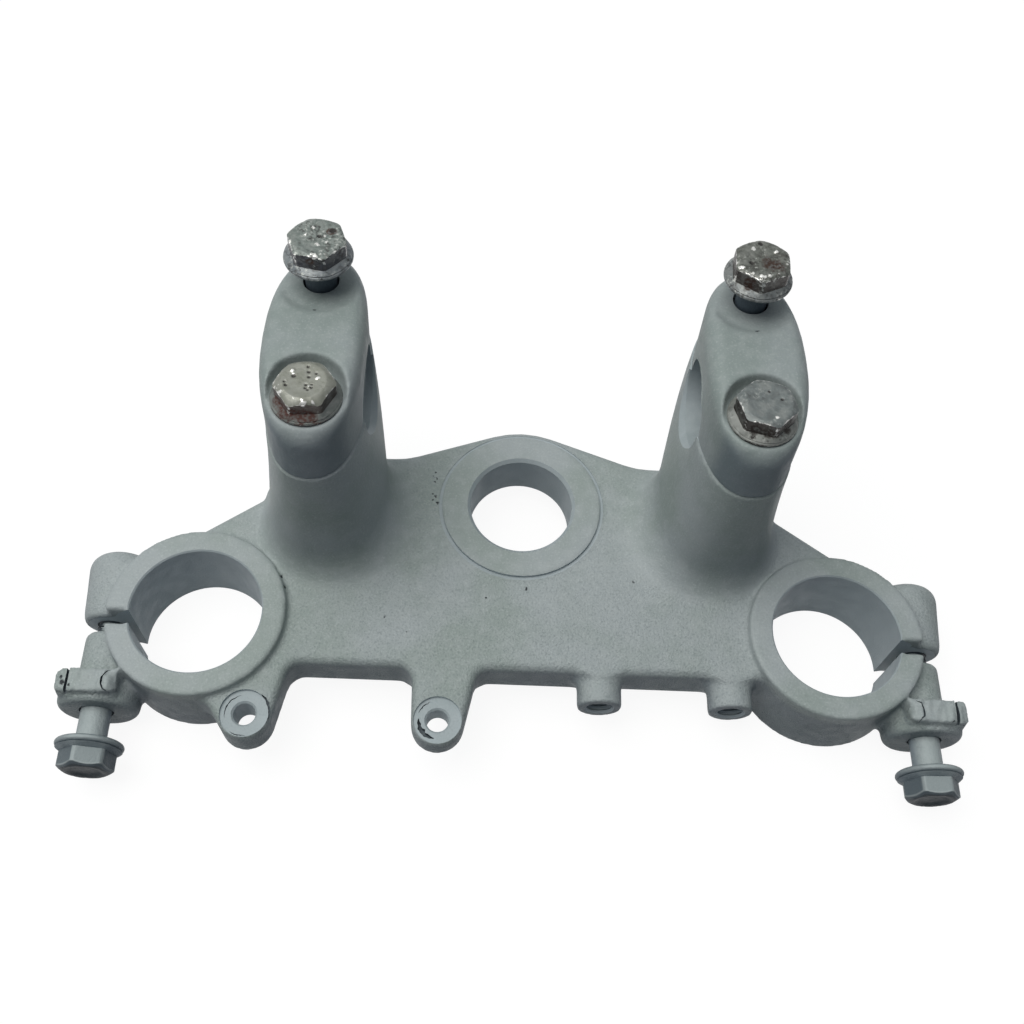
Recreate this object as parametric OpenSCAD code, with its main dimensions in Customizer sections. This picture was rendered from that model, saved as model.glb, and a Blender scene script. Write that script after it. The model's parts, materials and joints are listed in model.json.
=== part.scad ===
// Motorcycle triple clamp: a cast top yoke with integral handlebar risers, split fork clamps,
// two handlebar caps and their bolts. Millimetres.
// The origin is on the steering stem's axis, at the underside of the stem boss.
// X runs across the machine, +Y towards the rider and +Z up the steering stem.

/* [Fork clamps] */
// Distance between the axes of the two fork tubes
fork_spacing = 172.4; // [166:0.2:182]
// How far the fork tubes' axes lie in front of the stem's axis
fork_offset = 37; // [34:0.5:41]
// Bore for a fork tube
fork_bore_d = 35; // [32:0.5:37]
// Wall of a fork clamp
fork_wall = 6.3; // [5.4:0.1:7.2]
// Height of a fork clamp
clamp_h = 24; // [23:0.5:28]
// How far a fork clamp hangs below the stem boss
clamp_drop = 8; // [6:0.5:9.5]
// Width of the slit in a fork clamp
slit_w = 3.7; // [2:0.1:5]
// How far the slit lies in front of the fork tube's axis
slit_shift = 2.6; // [1.8:0.1:3.4]
// Break of the fork bore's edges
bore_chamfer = 0.4; // [0.2:0.1:0.8]

/* [Pinch ears] */
// Distance of a pinch bolt's axis from the fork tube's axis
pinch_out = 24.3; // [23.5:0.1:26]
// Diameter of the threaded ear behind the slit
rear_ear_d = 18; // [17.6:0.2:21]
// How much narrower that ear is at the slit
ear_taper = 2; // [0:0.2:3]
// How far the threaded ear reaches behind the fork tube's axis
rear_ear_reach = 19.4; // [17:0.2:24]
// Diameter of the neck in front of the slit
neck_d = 12.6; // [12.4:0.2:15]
// Diameter of the boss under the pinch bolt's head
front_ear_d = 21.4; // [20:0.2:23]
// How far that boss's middle lies below the pinch bolt's axis
front_ear_drop = 1.2; // [0:0.1:1.6]
// How far the front boss's face lies before the fork tube's axis
front_ear_reach = 25; // [24:0.5:28]
// Length of the front boss
front_ear_len = 8; // [7:0.5:10]
// Rounding of the threaded ear's ends
rear_ear_round = 4.4; // [2:0.2:5]
// Rounding of the front boss's edges
ear_round = 2.2; // [1:0.2:3]
// Depth left solid behind the threaded pinch hole
pinch_floor = 3; // [2:0.5:4]

/* [Broken tab on each front ear] */
// Width of the tab
tab_w = 16; // [12:0.2:18]
// Depth of the tab
tab_d = 6.2; // [4:0.2:7]
// How far the tab stands above the clamp's middle plane
tab_top = 11.4; // [10.8:0.1:11.8]
// How far the tab's middle lies outside the pinch bolt's axis
tab_shift = 1.2; // [0:0.1:2]
// How far the tab's front edge lies behind the boss's face
tab_setback = 1.8; // [1:0.1:3]
// Width of the crack across the tab
crack_w = 0.7; // [0.4:0.1:1]
// Depth of the crack
crack_depth = 2.4; // [1:0.1:3]
// Width of the outer nub that the crack parts from the tab
nub_w = 3.8; // [3:0.1:5]

/* [Steering stem] */
// Bore for the steering stem
stem_bore_d = 28.8; // [26:0.2:31]
// Outer diameter of the stem boss
stem_boss_d = 45; // [40:0.5:48]
// Height of the stem boss
stem_boss_h = 14.5; // [14:0.1:16]
// Chamfer at the mouth of the stem bore
stem_chamfer = 0.5; // [0.3:0.1:1]

/* [Plate] */
// Height of the plate's top over the stem boss's underside
plate_top = 13.5; // [12.5:0.1:13.9]
// Height of the plate's underside over the stem boss's underside
plate_floor = 0.6; // [0.2:0.1:1.5]
// How far the front wall lies in front of the fork tubes' axes
front_wall = 12.5; // [10:0.5:14]
// Rounding of the plate's top edge
top_round = 2.6; // [1:0.2:3]
// Rounding of the plate's bottom edge
bottom_round = 1; // [0.5:0.1:1.5]
// Width of the hump's rim behind the stem boss
hump_rim = 3; // [2:0.5:5]
// Radius of the plate's corner under a riser
shoulder_r = 11.5; // [10:0.5:14]
// Distance of that corner's centre from the middle
shoulder_x = 47.5; // [46:0.5:50]
// How far that corner's centre lies behind the stem's axis
shoulder_y = 3.5; // [1:0.5:5]
// Radius of the hollow between the hump and a riser
waist_r = 19.5; // [14:0.5:24]
// Distance of that hollow's centre from the middle
waist_x = 37; // [35:0.5:39]

/* [Cored underside] */
// Wall left round the cored pockets
core_wall = 4.2; // [3.5:0.1:6]
// Depth of the pockets
core_depth = 6; // [3:0.5:7]
// Thickness of the ribs between them
core_rib = 3.6; // [2.8:0.2:5]
// Distance of the inner upright ribs from the middle
inner_rib_x = 17; // [15:0.5:19]
// Distance of the outer upright ribs from the middle
outer_rib_x = 40; // [37:0.5:42]
// Radius of the pockets' front corners
core_corner = 9; // [8:0.5:11]

/* [Eyelet lugs] */
// Eyelet hole
eyelet_d = 5.8; // [5:0.1:6.6]
// Spot face round an eyelet hole
eyelet_spot_d = 12.6; // [11:0.1:13.4]
// Radius of an eyelet lug's end
eyelet_r = 6.9; // [6.8:0.1:8]
// Reach of the lugs before the fork tubes' axes
eyelet_reach = 27; // [26:0.1:29]
// Distance of the outer eyelet from the middle
outer_eyelet_x = 70.3; // [68:0.1:72]
// Distance of the inner eyelet from the middle
inner_eyelet_x = 20.6; // [18:0.1:24]
// Thickness of the outer lug
outer_eyelet_t = 9.6; // [9:0.2:11.6]
// Thickness of the inner lug
inner_eyelet_t = 6.6; // [5:0.2:9]
// How deep the spot faces are cut below the plate's top
eyelet_sink = 0.8; // [0.4:0.1:1.4]
// Fillet between a lug and the front wall
lug_fillet = 4; // [3:0.5:6]
// Run of the slope from the wall's foot to a lug's underside
lug_slope = 4.5; // [2:0.5:6]

/* [Lamp bracket bosses] */
// Diameter of a boss
lamp_boss_d = 12; // [11:0.5:13]
// How far a boss stands before the front wall
lamp_boss_len = 7.7; // [5:0.1:10]
// Fillet between a boss and the front wall
lamp_fillet = 2.4; // [1:0.2:3]
// Depth of a boss's axis below the plate's top
lamp_boss_drop = 6.6; // [6:0.1:7]
// Tapping hole in a boss
lamp_thread_d = 6.7; // [5:0.1:7]
// Depth of that hole
lamp_thread_len = 16; // [12:0.5:18]
// Distance of the inner boss from the middle
inner_boss_x = 22.2; // [18:0.1:26]
// Distance of the outer boss from the middle
outer_boss_x = 57.5; // [54:0.1:59]

/* [Handlebar clamps] */
// Distance between the two risers' middles
riser_spacing = 107.2; // [104:0.2:112]
// Handlebar diameter, the bore of the clamps
bar_d = 22.2; // [22:0.1:23]
// How far the handlebar's axis lies behind the stem's axis
bar_back = 7.4; // [4:0.2:10]
// Height of the handlebar's axis over the plate's top
bar_rise = 45; // [40:0.5:52]
// Backward lean of the clamp bolts, in degrees
bar_lean = 5.6; // [0:0.2:9]
// Distance between the two bolts of a clamp
bar_bolt_pitch = 35; // [34:0.2:37]
// Width of the riser's top
riser_w = 25.6; // [24:0.2:28]
// Length of the riser's top
riser_len = 58.6; // [57:0.2:62]
// How far a cap's outline lies inside the riser's top
cap_inset = 0.35; // [0.1:0.05:0.6]
// Height of a cap's crown over the split
cap_crown = 20.9; // [20.3:0.2:22]
// How much lower a cap's top is at its front end
cap_front_fall = 6; // [4.4:0.2:7]
// How much lower a cap's top is at its rear end
cap_rear_fall = 2; // [0:0.2:4]
// Rounding of a cap's top edges
cap_round = 4; // [3:0.2:5]
// Height of the front bolt's spot face over the split
spot_front_h = 15.7; // [14.8:0.1:16.4]
// Height of the rear bolt's spot face over the split
spot_rear_h = 19.4; // [18.6:0.1:19.8]
// How far the front spot face's sloping rim spreads round it
spot_front_rim = 1.2; // [0.4:0.2:1.6]
// How far the rear spot face's sloping rim spreads round it
spot_rear_rim = 2.8; // [1:0.2:3]
// Diameter of the front spot face
spot_front_d = 18; // [17.6:0.1:19]
// Diameter of the rear spot face
spot_rear_d = 19.4; // [18.4:0.1:20.4]
// Break of the handlebar bore's edges
bar_chamfer = 0.6; // [0.3:0.1:1]
// Length of a riser at its foot
foot_len = 36.5; // [32:0.5:38]
// Width of a riser at its foot
foot_w = 33.6; // [30:0.2:34.4]
// How far a riser's foot reaches before the stem's axis
foot_front = 23; // [21:0.5:25]
// Fillet round a riser's foot
foot_fillet = 9; // [5:0.5:10]

/* [Bolts] */
// Thread diameter of every bolt
bolt_d = 8; // [7:0.5:8]
// Clearance hole in the caps and the front ears
bolt_hole_d = 9; // [8.6:0.1:9.6]
// Clearance all round between a thread and its tapped hole
thread_gap = 0.05; // [0.03:0.01:0.1]
// Width across flats of a handlebar bolt's head
bar_head_af = 13; // [12:0.5:14]
// Flange diameter of a handlebar bolt
bar_flange_d = 17; // [16:0.2:18]
// Height of a handlebar bolt's head above its flange
bar_head_h = 5.4; // [4.5:0.1:7]
// Length of a handlebar bolt under its head
bar_bolt_len = 36; // [34:0.5:40]
// How far the rear handlebar bolts stand unscrewed
rear_bolt_out = 7.6; // [4:0.2:9]
// Width across flats of a pinch bolt's head
pinch_head_af = 13; // [11:0.5:14]
// Flange diameter of a pinch bolt
pinch_flange_d = 17.6; // [16:0.2:18.4]
// Height of a pinch bolt's head above its flange
pinch_head_h = 6; // [4.5:0.1:7]
// Length of a pinch bolt under its head
pinch_bolt_len = 45; // [42:0.5:48]
// How far the pinch bolts stand unscrewed
pinch_bolt_out = 8.4; // [4:0.2:9]
// Thickness of a handlebar bolt's flange at its rim
bar_flange_rim = 1.2; // [0.8:0.1:1.6]
// Thickness of a pinch bolt's flange at its rim
pinch_flange_rim = 1.9; // [1:0.1:2.2]
// How much thicker a flange is at the hexagon than at its rim
flange_rise = 1.1; // [0.8:0.1:1.4]
// Depth of the dish in a bolt's head
head_dish = 0.7; // [0.3:0.1:1.2]

/* [Hidden] */
$fn = 64;

paint = [0.62, 0.66, 0.66];
plated = [0.72, 0.72, 0.70];
fork_x = fork_spacing / 2;
clamp_r = fork_bore_d / 2 + fork_wall;
clamp_mid = clamp_h / 2 - clamp_drop;
pinch_x = fork_x + pinch_out;
slit_y = -fork_offset - slit_shift;
ear_front = -fork_offset - front_ear_reach;
front_y = -fork_offset - front_wall;
eyelet_y = -fork_offset - eyelet_reach;
riser_x = riser_spacing / 2;
bar_z = plate_top + bar_rise;
foot_mid = foot_len / 2 - foot_front;
cap_w = riser_w - 2 * cap_inset;
cap_len = riser_len - 2 * cap_inset;
boss_z = plate_top - lamp_boss_drop;
tap_d = bolt_d + 2 * thread_gap;
// Small overlap that keeps joined shapes from only touching
lap = 1;
// Angle between the points of an outline's arcs
arc_step = 9;
// Points round a riser's or a cap's section
section_n = 40;
// Squareness of that section: 2 is an ellipse
section_power = 2.4;
// Shares of the foot fillet's spread on a riser's outer side, front and back
fillet_outer = 0.3;
fillet_front = 0.7;
fillet_back = 0.2;
// Angles of the flats that make the plate's top and bottom edges
top_flats = [18, 45, 72];
bottom_flats = [45];
// Flats along a lofted rounding or fillet
fillet_steps = 4;

// Directions of the outward normals where an outline's arc i ends and arc i + 1 starts
function belt_normal(c, i) =
    let (a = c[i], b = c[(i + 1) % len(c)], d = [b[0] - a[0], b[1] - a[1]])
    atan2(d[1], d[0]) - acos((a[2] - b[2]) / norm(d));

// Points of one arc, set in by inset: convex arcs turn left and hollow ones turn right
function arc_points(a, from, to, inset) =
    let (turn = a[2] > 0 ? (to - from + 720) % 360 : -((from - to + 720) % 360),
         n = max(1, round(abs(turn) / arc_step)))
    [for (k = [0 : n])
        let (t = from + turn * k / n) [a[0], a[1]] + (a[2] - inset) * [cos(t), sin(t)]];

// Closed outline like a belt round circles [x, y, r]; a negative r is a hollow's radius
function belt(c, inset) =
    [for (i = [0 : len(c) - 1])
        each arc_points(c[i], belt_normal(c, (i + len(c) - 1) % len(c)), belt_normal(c, i), inset)];

// Side faces between stacked rings of n points, with a flat face at each end
function skin_faces(n, rings) = concat(
    [for (k = [0 : rings - 2], i = [0 : n - 1])
        [k * n + i, (k + 1) * n + i, (k + 1) * n + (i + 1) % n, k * n + (i + 1) % n]],
    [[for (i = [0 : n - 1]) i]],
    [[for (i = [n - 1 : -1 : 0]) (rings - 1) * n + i]]);

module skin(rings) {
    polyhedron([for (r = rings) each r], skin_faces(len(rings[0]), len(rings)));
}

// Section [inset, depth below the face] of what rounding an edge takes off, from flats at angles t
function edge_section(r, t) = concat(
    [[-lap, r - (r - (r + lap) * cos(t[0])) / sin(t[0])]],
    [for (i = [1 : 1 : len(t) - 1])
        let (m = (t[i - 1] + t[i]) / 2, d = r / cos((t[i] - t[i - 1]) / 2)) [r - d * cos(m), r - d * sin(m)]],
    let (last = t[len(t) - 1]) [[r - (r - (r + lap) * sin(last)) / cos(last), -lap]],
    [[-lap, -lap]]);

// Rim taken off round a belt outline; up is 1 at a top face and -1 at a bottom face
module edge_cut(c, z, up, section) {
    sides = len(section);
    rims = [for (q = section) [for (p = belt(c, q[0])) [p[0], p[1], z - up * q[1]]]];
    n = len(rims[0]);
    order = up > 0 ? [0, 1, 2, 3] : [3, 2, 1, 0];
    polyhedron([for (q = rims) each q],
        [for (k = [0 : sides - 1], i = [0 : n - 1])
            let (f = [k * n + i, k * n + (i + 1) % n,
                      (k + 1) % sides * n + (i + 1) % n, (k + 1) % sides * n + i])
            [for (j = order) f[j]]]);
}

// Slab over a belt outline, with a rounded top edge and a broken bottom edge
module belt_slab(c, z0, z1, r0, r1) {
    difference() {
        translate([0, 0, z0]) linear_extrude(z1 - z0) polygon(belt(c, 0));
        edge_cut(c, z1, 1, edge_section(r1, top_flats));
        edge_cut(c, z0, -1, edge_section(r0, bottom_flats));
    }
}

// Point i of a rounded oblong section, half width a and half length b
function oblong(a, b, i) =
    let (t = 360 * i / section_n, e = 2 / section_power)
    [a * sign(cos(t)) * pow(abs(cos(t)), e), b * sign(sin(t)) * pow(abs(sin(t)), e)];

// Places its children on a clamp's split plane: X along the bar, Z up the bolts
module at_clamp() {
    translate([riser_x, bar_back, bar_z]) rotate([-bar_lean, 0, 0]) children();
}

module both_sides() {
    children();
    mirror([1, 0, 0]) children();
}

// Plate: outline of the casting between the clamps
plate_belt = [
    [-fork_x, -fork_offset, clamp_r - 2 * lap],
    [-outer_eyelet_x - eyelet_r - 1.4 * lug_fillet, eyelet_y - lap, -lug_fillet],
    [-outer_eyelet_x, eyelet_y, eyelet_r],
    [-outer_eyelet_x + 2 * eyelet_r - lap / 2, front_y - lug_fillet, -lug_fillet],
    [-inner_eyelet_x - eyelet_r - 1.1 * lug_fillet, front_y - lug_fillet, -lug_fillet],
    [-inner_eyelet_x, eyelet_y, eyelet_r],
    [-inner_eyelet_x + eyelet_r + 1.6 * lug_fillet, front_y - lug_fillet, -lug_fillet],
    [fork_x - clamp_r + 2 * lap, front_y - lug_fillet, -lug_fillet],
    [fork_x, -fork_offset, clamp_r - 2 * lap],
    [shoulder_x, shoulder_y, shoulder_r],
    [waist_x, shoulder_y + shoulder_r + waist_r, -waist_r],
    [0, 0, stem_boss_d / 2 + hump_rim],
    [-waist_x, shoulder_y + shoulder_r + waist_r, -waist_r],
    [-shoulder_x, shoulder_y, shoulder_r]];

module plate() {
    difference() {
        belt_slab(plate_belt, plate_floor, plate_top, bottom_round, top_round);
        lug_relief(outer_eyelet_x, outer_eyelet_t);
        lug_relief(inner_eyelet_x, inner_eyelet_t);
    }
}

// Outline of the casting between the fork clamps, without its lugs
core_belt = [
    [-fork_x + clamp_r, front_y + core_corner, core_corner],
    [fork_x - clamp_r, front_y + core_corner, core_corner],
    [shoulder_x, shoulder_y, shoulder_r],
    [waist_x, shoulder_y + shoulder_r + waist_r, -waist_r],
    [0, 0, stem_boss_d / 2 + hump_rim],
    [-waist_x, shoulder_y + shoulder_r + waist_r, -waist_r],
    [-shoulder_x, shoulder_y, shoulder_r]];

// Upright rib of the underside in the direction a, from the point p on
module core_web(p, a, l) {
    translate([p[0], p[1], 0]) rotate([0, 0, a])
        translate([0, -core_rib / 2, plate_floor - 2 * lap]) cube([l, core_rib, core_depth + 3 * lap]);
}

// Pockets cored into the underside, with webs from the stem boss to the clamps and the walls
module core() {
    difference() {
        translate([0, 0, plate_floor - lap]) linear_extrude(core_depth + lap) polygon(belt(core_belt, core_wall));
        translate([0, 0, -2 * lap]) cylinder(d = stem_boss_d, h = plate_top, $fn = 96);
        both_sides() {
            translate([fork_x, -fork_offset, -2 * lap]) cylinder(r = clamp_r, h = plate_top, $fn = 96);
            core_web([0, 0], atan2(-fork_offset, fork_x), fork_x);
            core_web([inner_rib_x, front_y], 90, fork_offset);
            core_web([outer_rib_x, front_y], 90, fork_spacing / 2);
        }
        for (x = [inner_boss_x, outer_boss_x])
            translate([x - lamp_boss_d / 2, front_y, -2 * lap])
                cube([lamp_boss_d, lamp_thread_len - lamp_boss_len + 2 * lap, plate_top]);
    }
}

// What is taken off below a lug of thickness t, with a slope up from the wall's foot
module lug_relief(x, t) {
    under = plate_top - eyelet_sink - t;
    far = eyelet_y - 2 * eyelet_r;
    translate([-x - 2 * eyelet_r, 0, 0]) rotate([90, 0, 90]) linear_extrude(4 * eyelet_r)
        polygon([[far, -clamp_drop], [front_y - lap / 2, -clamp_drop], [front_y - lap / 2, plate_floor],
                 [front_y - lap / 2 - lug_slope, under], [far, under]]);
}

// Turned boss along +Y from y = 0 with rounded edges, d0 and r0 near, d1 and r1 far
module round_boss(d0, d1, l, r0, r1) {
    steps = 4;
    near = [for (k = [0 : steps])
        [d0 / 2 - r0 + r0 * sin(90 * k / steps), r0 - r0 * cos(90 * k / steps)]];
    far = [for (k = [0 : steps])
        [d1 / 2 - r1 + r1 * cos(90 * k / steps), l - r1 + r1 * sin(90 * k / steps)]];
    rotate([-90, 0, 0]) rotate_extrude() polygon(concat([[0, 0]], near, far, [[0, l]]));
}

// Ears of the right-hand fork clamp, on either side of the slit
module ears() {
    translate([pinch_x, slit_y, clamp_mid]) {
        round_boss(rear_ear_d - ear_taper, rear_ear_d, rear_ear_reach + slit_shift,
                   rear_ear_round, rear_ear_round);
        rotate([0, 0, 180]) {
            round_boss(neck_d, neck_d, front_ear_reach - slit_shift - lap, ear_round, ear_round);
            translate([0, front_ear_reach - slit_shift - front_ear_len, -front_ear_drop])
                round_boss(front_ear_d, front_ear_d, front_ear_len, ear_round, ear_round);
        }
    }
    tab();
}

// Stump of a broken tab, cracked across, on top of the front ear
module tab() {
    difference() {
        translate([pinch_x + tab_shift - tab_w / 2, ear_front + tab_setback, clamp_mid])
            cube([tab_w, tab_d, tab_top]);
        translate([pinch_x + tab_shift + tab_w / 2 - nub_w, ear_front + tab_setback - lap,
                   clamp_mid + tab_top - crack_depth])
            cube([crack_w, tab_d + 2 * lap, crack_depth + lap]);
        // The nub overhangs the boss
        translate([pinch_x + neck_d / 2, ear_front, clamp_mid - lap])
            cube([tab_w, front_ear_len + tab_d, tab_top * 0.45 + lap]);
    }
}

// Foot fillet's spread at height h over the plate
function flare(h) = h >= foot_fillet ? 0 : foot_fillet - sqrt(pow(foot_fillet, 2) - pow(foot_fillet - h, 2));

// Ring of the riser at a share s of its height; the top ring lies in the split plane.
// Its back bulges out so that the bolts' threads keep a wall behind them. The foot's fillet
// spreads inward and forward, for the outer side and the back come down at the plate's edge.
function riser_ring(s) =
    let (lean = bar_lean * s, spread = flare(s * bar_rise), bulge = sin(90 * s),
         a = foot_w / 2 + (riser_w - foot_w) / 2 * s + spread * (1 + fillet_outer) / 2,
         b = foot_len / 2 + (riser_len - foot_len) / 2 * bulge + spread * (fillet_front + fillet_back) / 2,
         x = riser_x - spread * (1 - fillet_outer) / 2,
         y = foot_mid + (bar_back - foot_mid) * bulge - spread * (fillet_front - fillet_back) / 2,
         z = plate_top + bar_rise * s)
    [for (i = [0 : section_n - 1])
        let (p = oblong(a, b, i)) [x + p[0], y + p[1] * cos(lean), z - p[1] * sin(lean)]];

// Ring inside the plate, from which the foot grows
function riser_root() = [for (i = [0 : section_n - 1])
    let (p = oblong(foot_w / 2 - lap, foot_len / 2 - lap, i)) [riser_x + p[0], foot_mid + p[1], plate_floor + lap]];

module riser() {
    low = [for (k = [0 : fillet_steps])
        foot_fillet * (1 - cos(90 * k / fillet_steps)) / bar_rise];
    skin(concat([riser_root()], [for (s = concat(low, [0.32, 0.48, 0.65, 0.82, 1])) riser_ring(s)]));
}

// Upright section across a cap at point j of its outline, rounded at the top
function cap_section(j) =
    let (p = oblong(cap_w / 2, cap_len / 2, j),
         w = max(p[0], lap / 2),
         r = min(cap_round, w * 0.9),
         end = max(0, abs(p[1]) - cap_len / 2 + cap_round),
         fall = p[1] < 0 ? cap_front_fall : cap_rear_fall,
         top = cap_crown - fall * pow(p[1] / (cap_len / 2), 2)
             - cap_round + sqrt(pow(cap_round, 2) - pow(end, 2)))
    concat([[-w, p[1], 0]],
        [for (k = [0 : fillet_steps]) let (t = 90 * k / fillet_steps)
            [-w + r - r * cos(t), p[1], top - r + r * sin(t)]],
        [for (k = [0 : fillet_steps]) let (t = 90 - 90 * k / fillet_steps)
            [w - r + r * cos(t), p[1], top - r + r * sin(t)]],
        [[w, p[1], 0]]);

// Cap's outer form over the split plane, lofted from its front end to its rear end
module cap_form() {
    skin([for (j = [-section_n / 4 : section_n / 4]) cap_section(j)]);
}

// Handlebar bore with broken edges, right through a clamp
module bar_bore() {
    rotate([0, 90, 0]) {
        cylinder(d = bar_d, h = 2 * riser_w, center = true);
        for (e = [0, 1])
            mirror([0, 0, e]) translate([0, 0, riser_w / 2 - bar_chamfer])
                cylinder(d1 = bar_d, d2 = bar_d + 4 * bar_chamfer, h = 2 * bar_chamfer);
    }
}

// Bolt hole in front (side -1) or behind (side 1) of the bar, with a spot face at height h
module spot_face(side, h, d, rim) {
    translate([0, side * bar_bolt_pitch / 2, 0]) {
        translate([0, 0, -lap]) cylinder(d = bolt_hole_d, h = h + 2 * lap);
        translate([0, 0, h]) cylinder(d1 = d, d2 = d + 2 * rim, h = cap_crown - h);
    }
}

module bar_cap() {
    color(paint) difference() {
        cap_form();
        bar_bore();
        spot_face(-1, spot_front_h, spot_front_d, spot_front_rim);
        spot_face(1, spot_rear_h, spot_rear_d, spot_rear_rim);
    }
}

module fork_clamp() {
    translate([fork_x, -fork_offset, -clamp_drop]) cylinder(r = clamp_r, h = clamp_h, $fn = 96);
}

module fork_cuts() {
    translate([fork_x, -fork_offset, -clamp_drop]) {
        translate([0, 0, -lap]) cylinder(d = fork_bore_d, h = clamp_h + 2 * lap, $fn = 96);
        for (e = [0, 1])
            translate([0, 0, e * clamp_h]) mirror([0, 0, e]) translate([0, 0, -lap])
                cylinder(d1 = fork_bore_d + 2 * (bore_chamfer + lap), d2 = fork_bore_d,
                         h = bore_chamfer + lap, $fn = 96);
        translate([0, -slit_shift - slit_w / 2, -lap])
            cube([pinch_out + rear_ear_d, slit_w, clamp_h + 2 * lap]);
    }
    translate([pinch_x, slit_y, clamp_mid]) {
        rotate([90, 0, 0]) cylinder(d = bolt_hole_d, h = front_ear_reach);
        rotate([-90, 0, 0]) cylinder(d = tap_d, h = rear_ear_reach + slit_shift - pinch_floor);
    }
}

module stem_cuts() {
    translate([0, 0, -lap]) cylinder(d = stem_bore_d, h = stem_boss_h + 2 * lap, $fn = 96);
    translate([0, 0, stem_boss_h - stem_chamfer])
        cylinder(d1 = stem_bore_d, d2 = stem_bore_d + 2 * (stem_chamfer + lap), h = stem_chamfer + lap, $fn = 96);
}

module eyelet_cuts() {
    for (x = [outer_eyelet_x, inner_eyelet_x])
        translate([-x, eyelet_y, -clamp_drop]) {
            cylinder(d = eyelet_d, h = clamp_h);
            translate([0, 0, clamp_drop + plate_top - eyelet_sink]) cylinder(d = eyelet_spot_d, h = clamp_h);
        }
}

// Bosses on the front wall, each with a fillet at its root
module lamp_bosses() {
    fillet = [for (k = [0 : fillet_steps])
        let (t = 90 * k / fillet_steps)
        [lamp_boss_d / 2 + lamp_fillet * (1 - cos(t)), lamp_boss_len - lamp_fillet * (1 - sin(t))]];
    for (x = [inner_boss_x, outer_boss_x])
        translate([x, front_y - lamp_boss_len, boss_z]) intersection() {
            rotate([-90, 0, 0]) rotate_extrude()
                polygon(concat([[0, 0], [lamp_boss_d / 2, 0]], fillet,
                               [[lamp_boss_d / 2 + lamp_fillet, 2 * lamp_boss_d], [0, 2 * lamp_boss_d]]));
            translate([-lamp_boss_d, -lap, plate_floor - boss_z])
                cube([2 * lamp_boss_d, 3 * lamp_boss_d, plate_top - plate_floor]);
        }
}

module lamp_cuts() {
    for (x = [inner_boss_x, outer_boss_x])
        translate([x, front_y - lamp_boss_len - lap, boss_z])
            rotate([-90, 0, 0]) cylinder(d = lamp_thread_d, h = lamp_thread_len + lap);
}

module yoke() {
    color(paint) difference() {
        union() {
            plate();
            cylinder(d = stem_boss_d, h = stem_boss_h, $fn = 96);
            lamp_bosses();
            both_sides() {
                fork_clamp();
                ears();
                riser();
            }
        }
        both_sides() {
            fork_cuts();
            at_clamp() {
                bar_bore();
                for (s = [-1, 1])
                    translate([0, s * bar_bolt_pitch / 2, spot_front_h - bar_bolt_len - lap])
                        cylinder(d = tap_d, h = bar_bolt_len);
            }
        }
        core();
        stem_cuts();
        eyelet_cuts();
        lamp_cuts();
    }
}

// Flange bolt along Z: the seat of its head is at z = 0, its thread points down
module flange_bolt(af, flange_d, flange_rim, head_h, thread_len) {
    corner_d = af / cos(30);
    union() {
        translate([0, 0, -thread_len]) cylinder(d = bolt_d, h = thread_len + flange_rim);
        cylinder(d = flange_d, h = flange_rim);
        translate([0, 0, flange_rim]) cylinder(d1 = flange_d, d2 = corner_d, h = flange_rise);
        difference() {
            intersection() {
                translate([0, 0, flange_rim]) cylinder(d = corner_d, h = head_h, $fn = 6);
                cylinder(d1 = corner_d + 2 * (head_h + flange_rim) * 0.6, d2 = af * 0.98,
                         h = head_h + flange_rim);
            }
            translate([0, 0, flange_rim + head_h - head_dish])
                cylinder(d1 = af * 0.55, d2 = af * 0.75, h = head_dish + lap);
        }
    }
}

module bar_bolt() {
    color(plated) flange_bolt(bar_head_af, bar_flange_d, bar_flange_rim, bar_head_h, bar_bolt_len);
}

// Bolts of the right-hand clamp
module bar_bolt_front() {
    at_clamp() translate([0, -bar_bolt_pitch / 2, spot_front_h]) bar_bolt();
}

module bar_bolt_rear() {
    at_clamp() translate([0, bar_bolt_pitch / 2, spot_rear_h + rear_bolt_out]) bar_bolt();
}

module pinch_bolt() {
    color(paint) translate([pinch_x, ear_front - pinch_bolt_out, clamp_mid]) rotate([90, 30, 0])
        flange_bolt(pinch_head_af, pinch_flange_d, pinch_flange_rim, pinch_head_h, pinch_bolt_len);
}

yoke();
at_clamp() bar_cap();  // bar_cap_right
mirror([1, 0, 0]) at_clamp() bar_cap();  // bar_cap_left
bar_bolt_front();  // bar_bolt_front_right
bar_bolt_rear();  // bar_bolt_rear_right
mirror([1, 0, 0]) bar_bolt_front();  // bar_bolt_front_left
mirror([1, 0, 0]) bar_bolt_rear();  // bar_bolt_rear_left
pinch_bolt();  // pinch_bolt_right
mirror([1, 0, 0]) pinch_bolt();  // pinch_bolt_left
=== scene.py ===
import json
import math

import bmesh
import bpy
import numpy as np
from mathutils import Matrix, Vector, noise


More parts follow.
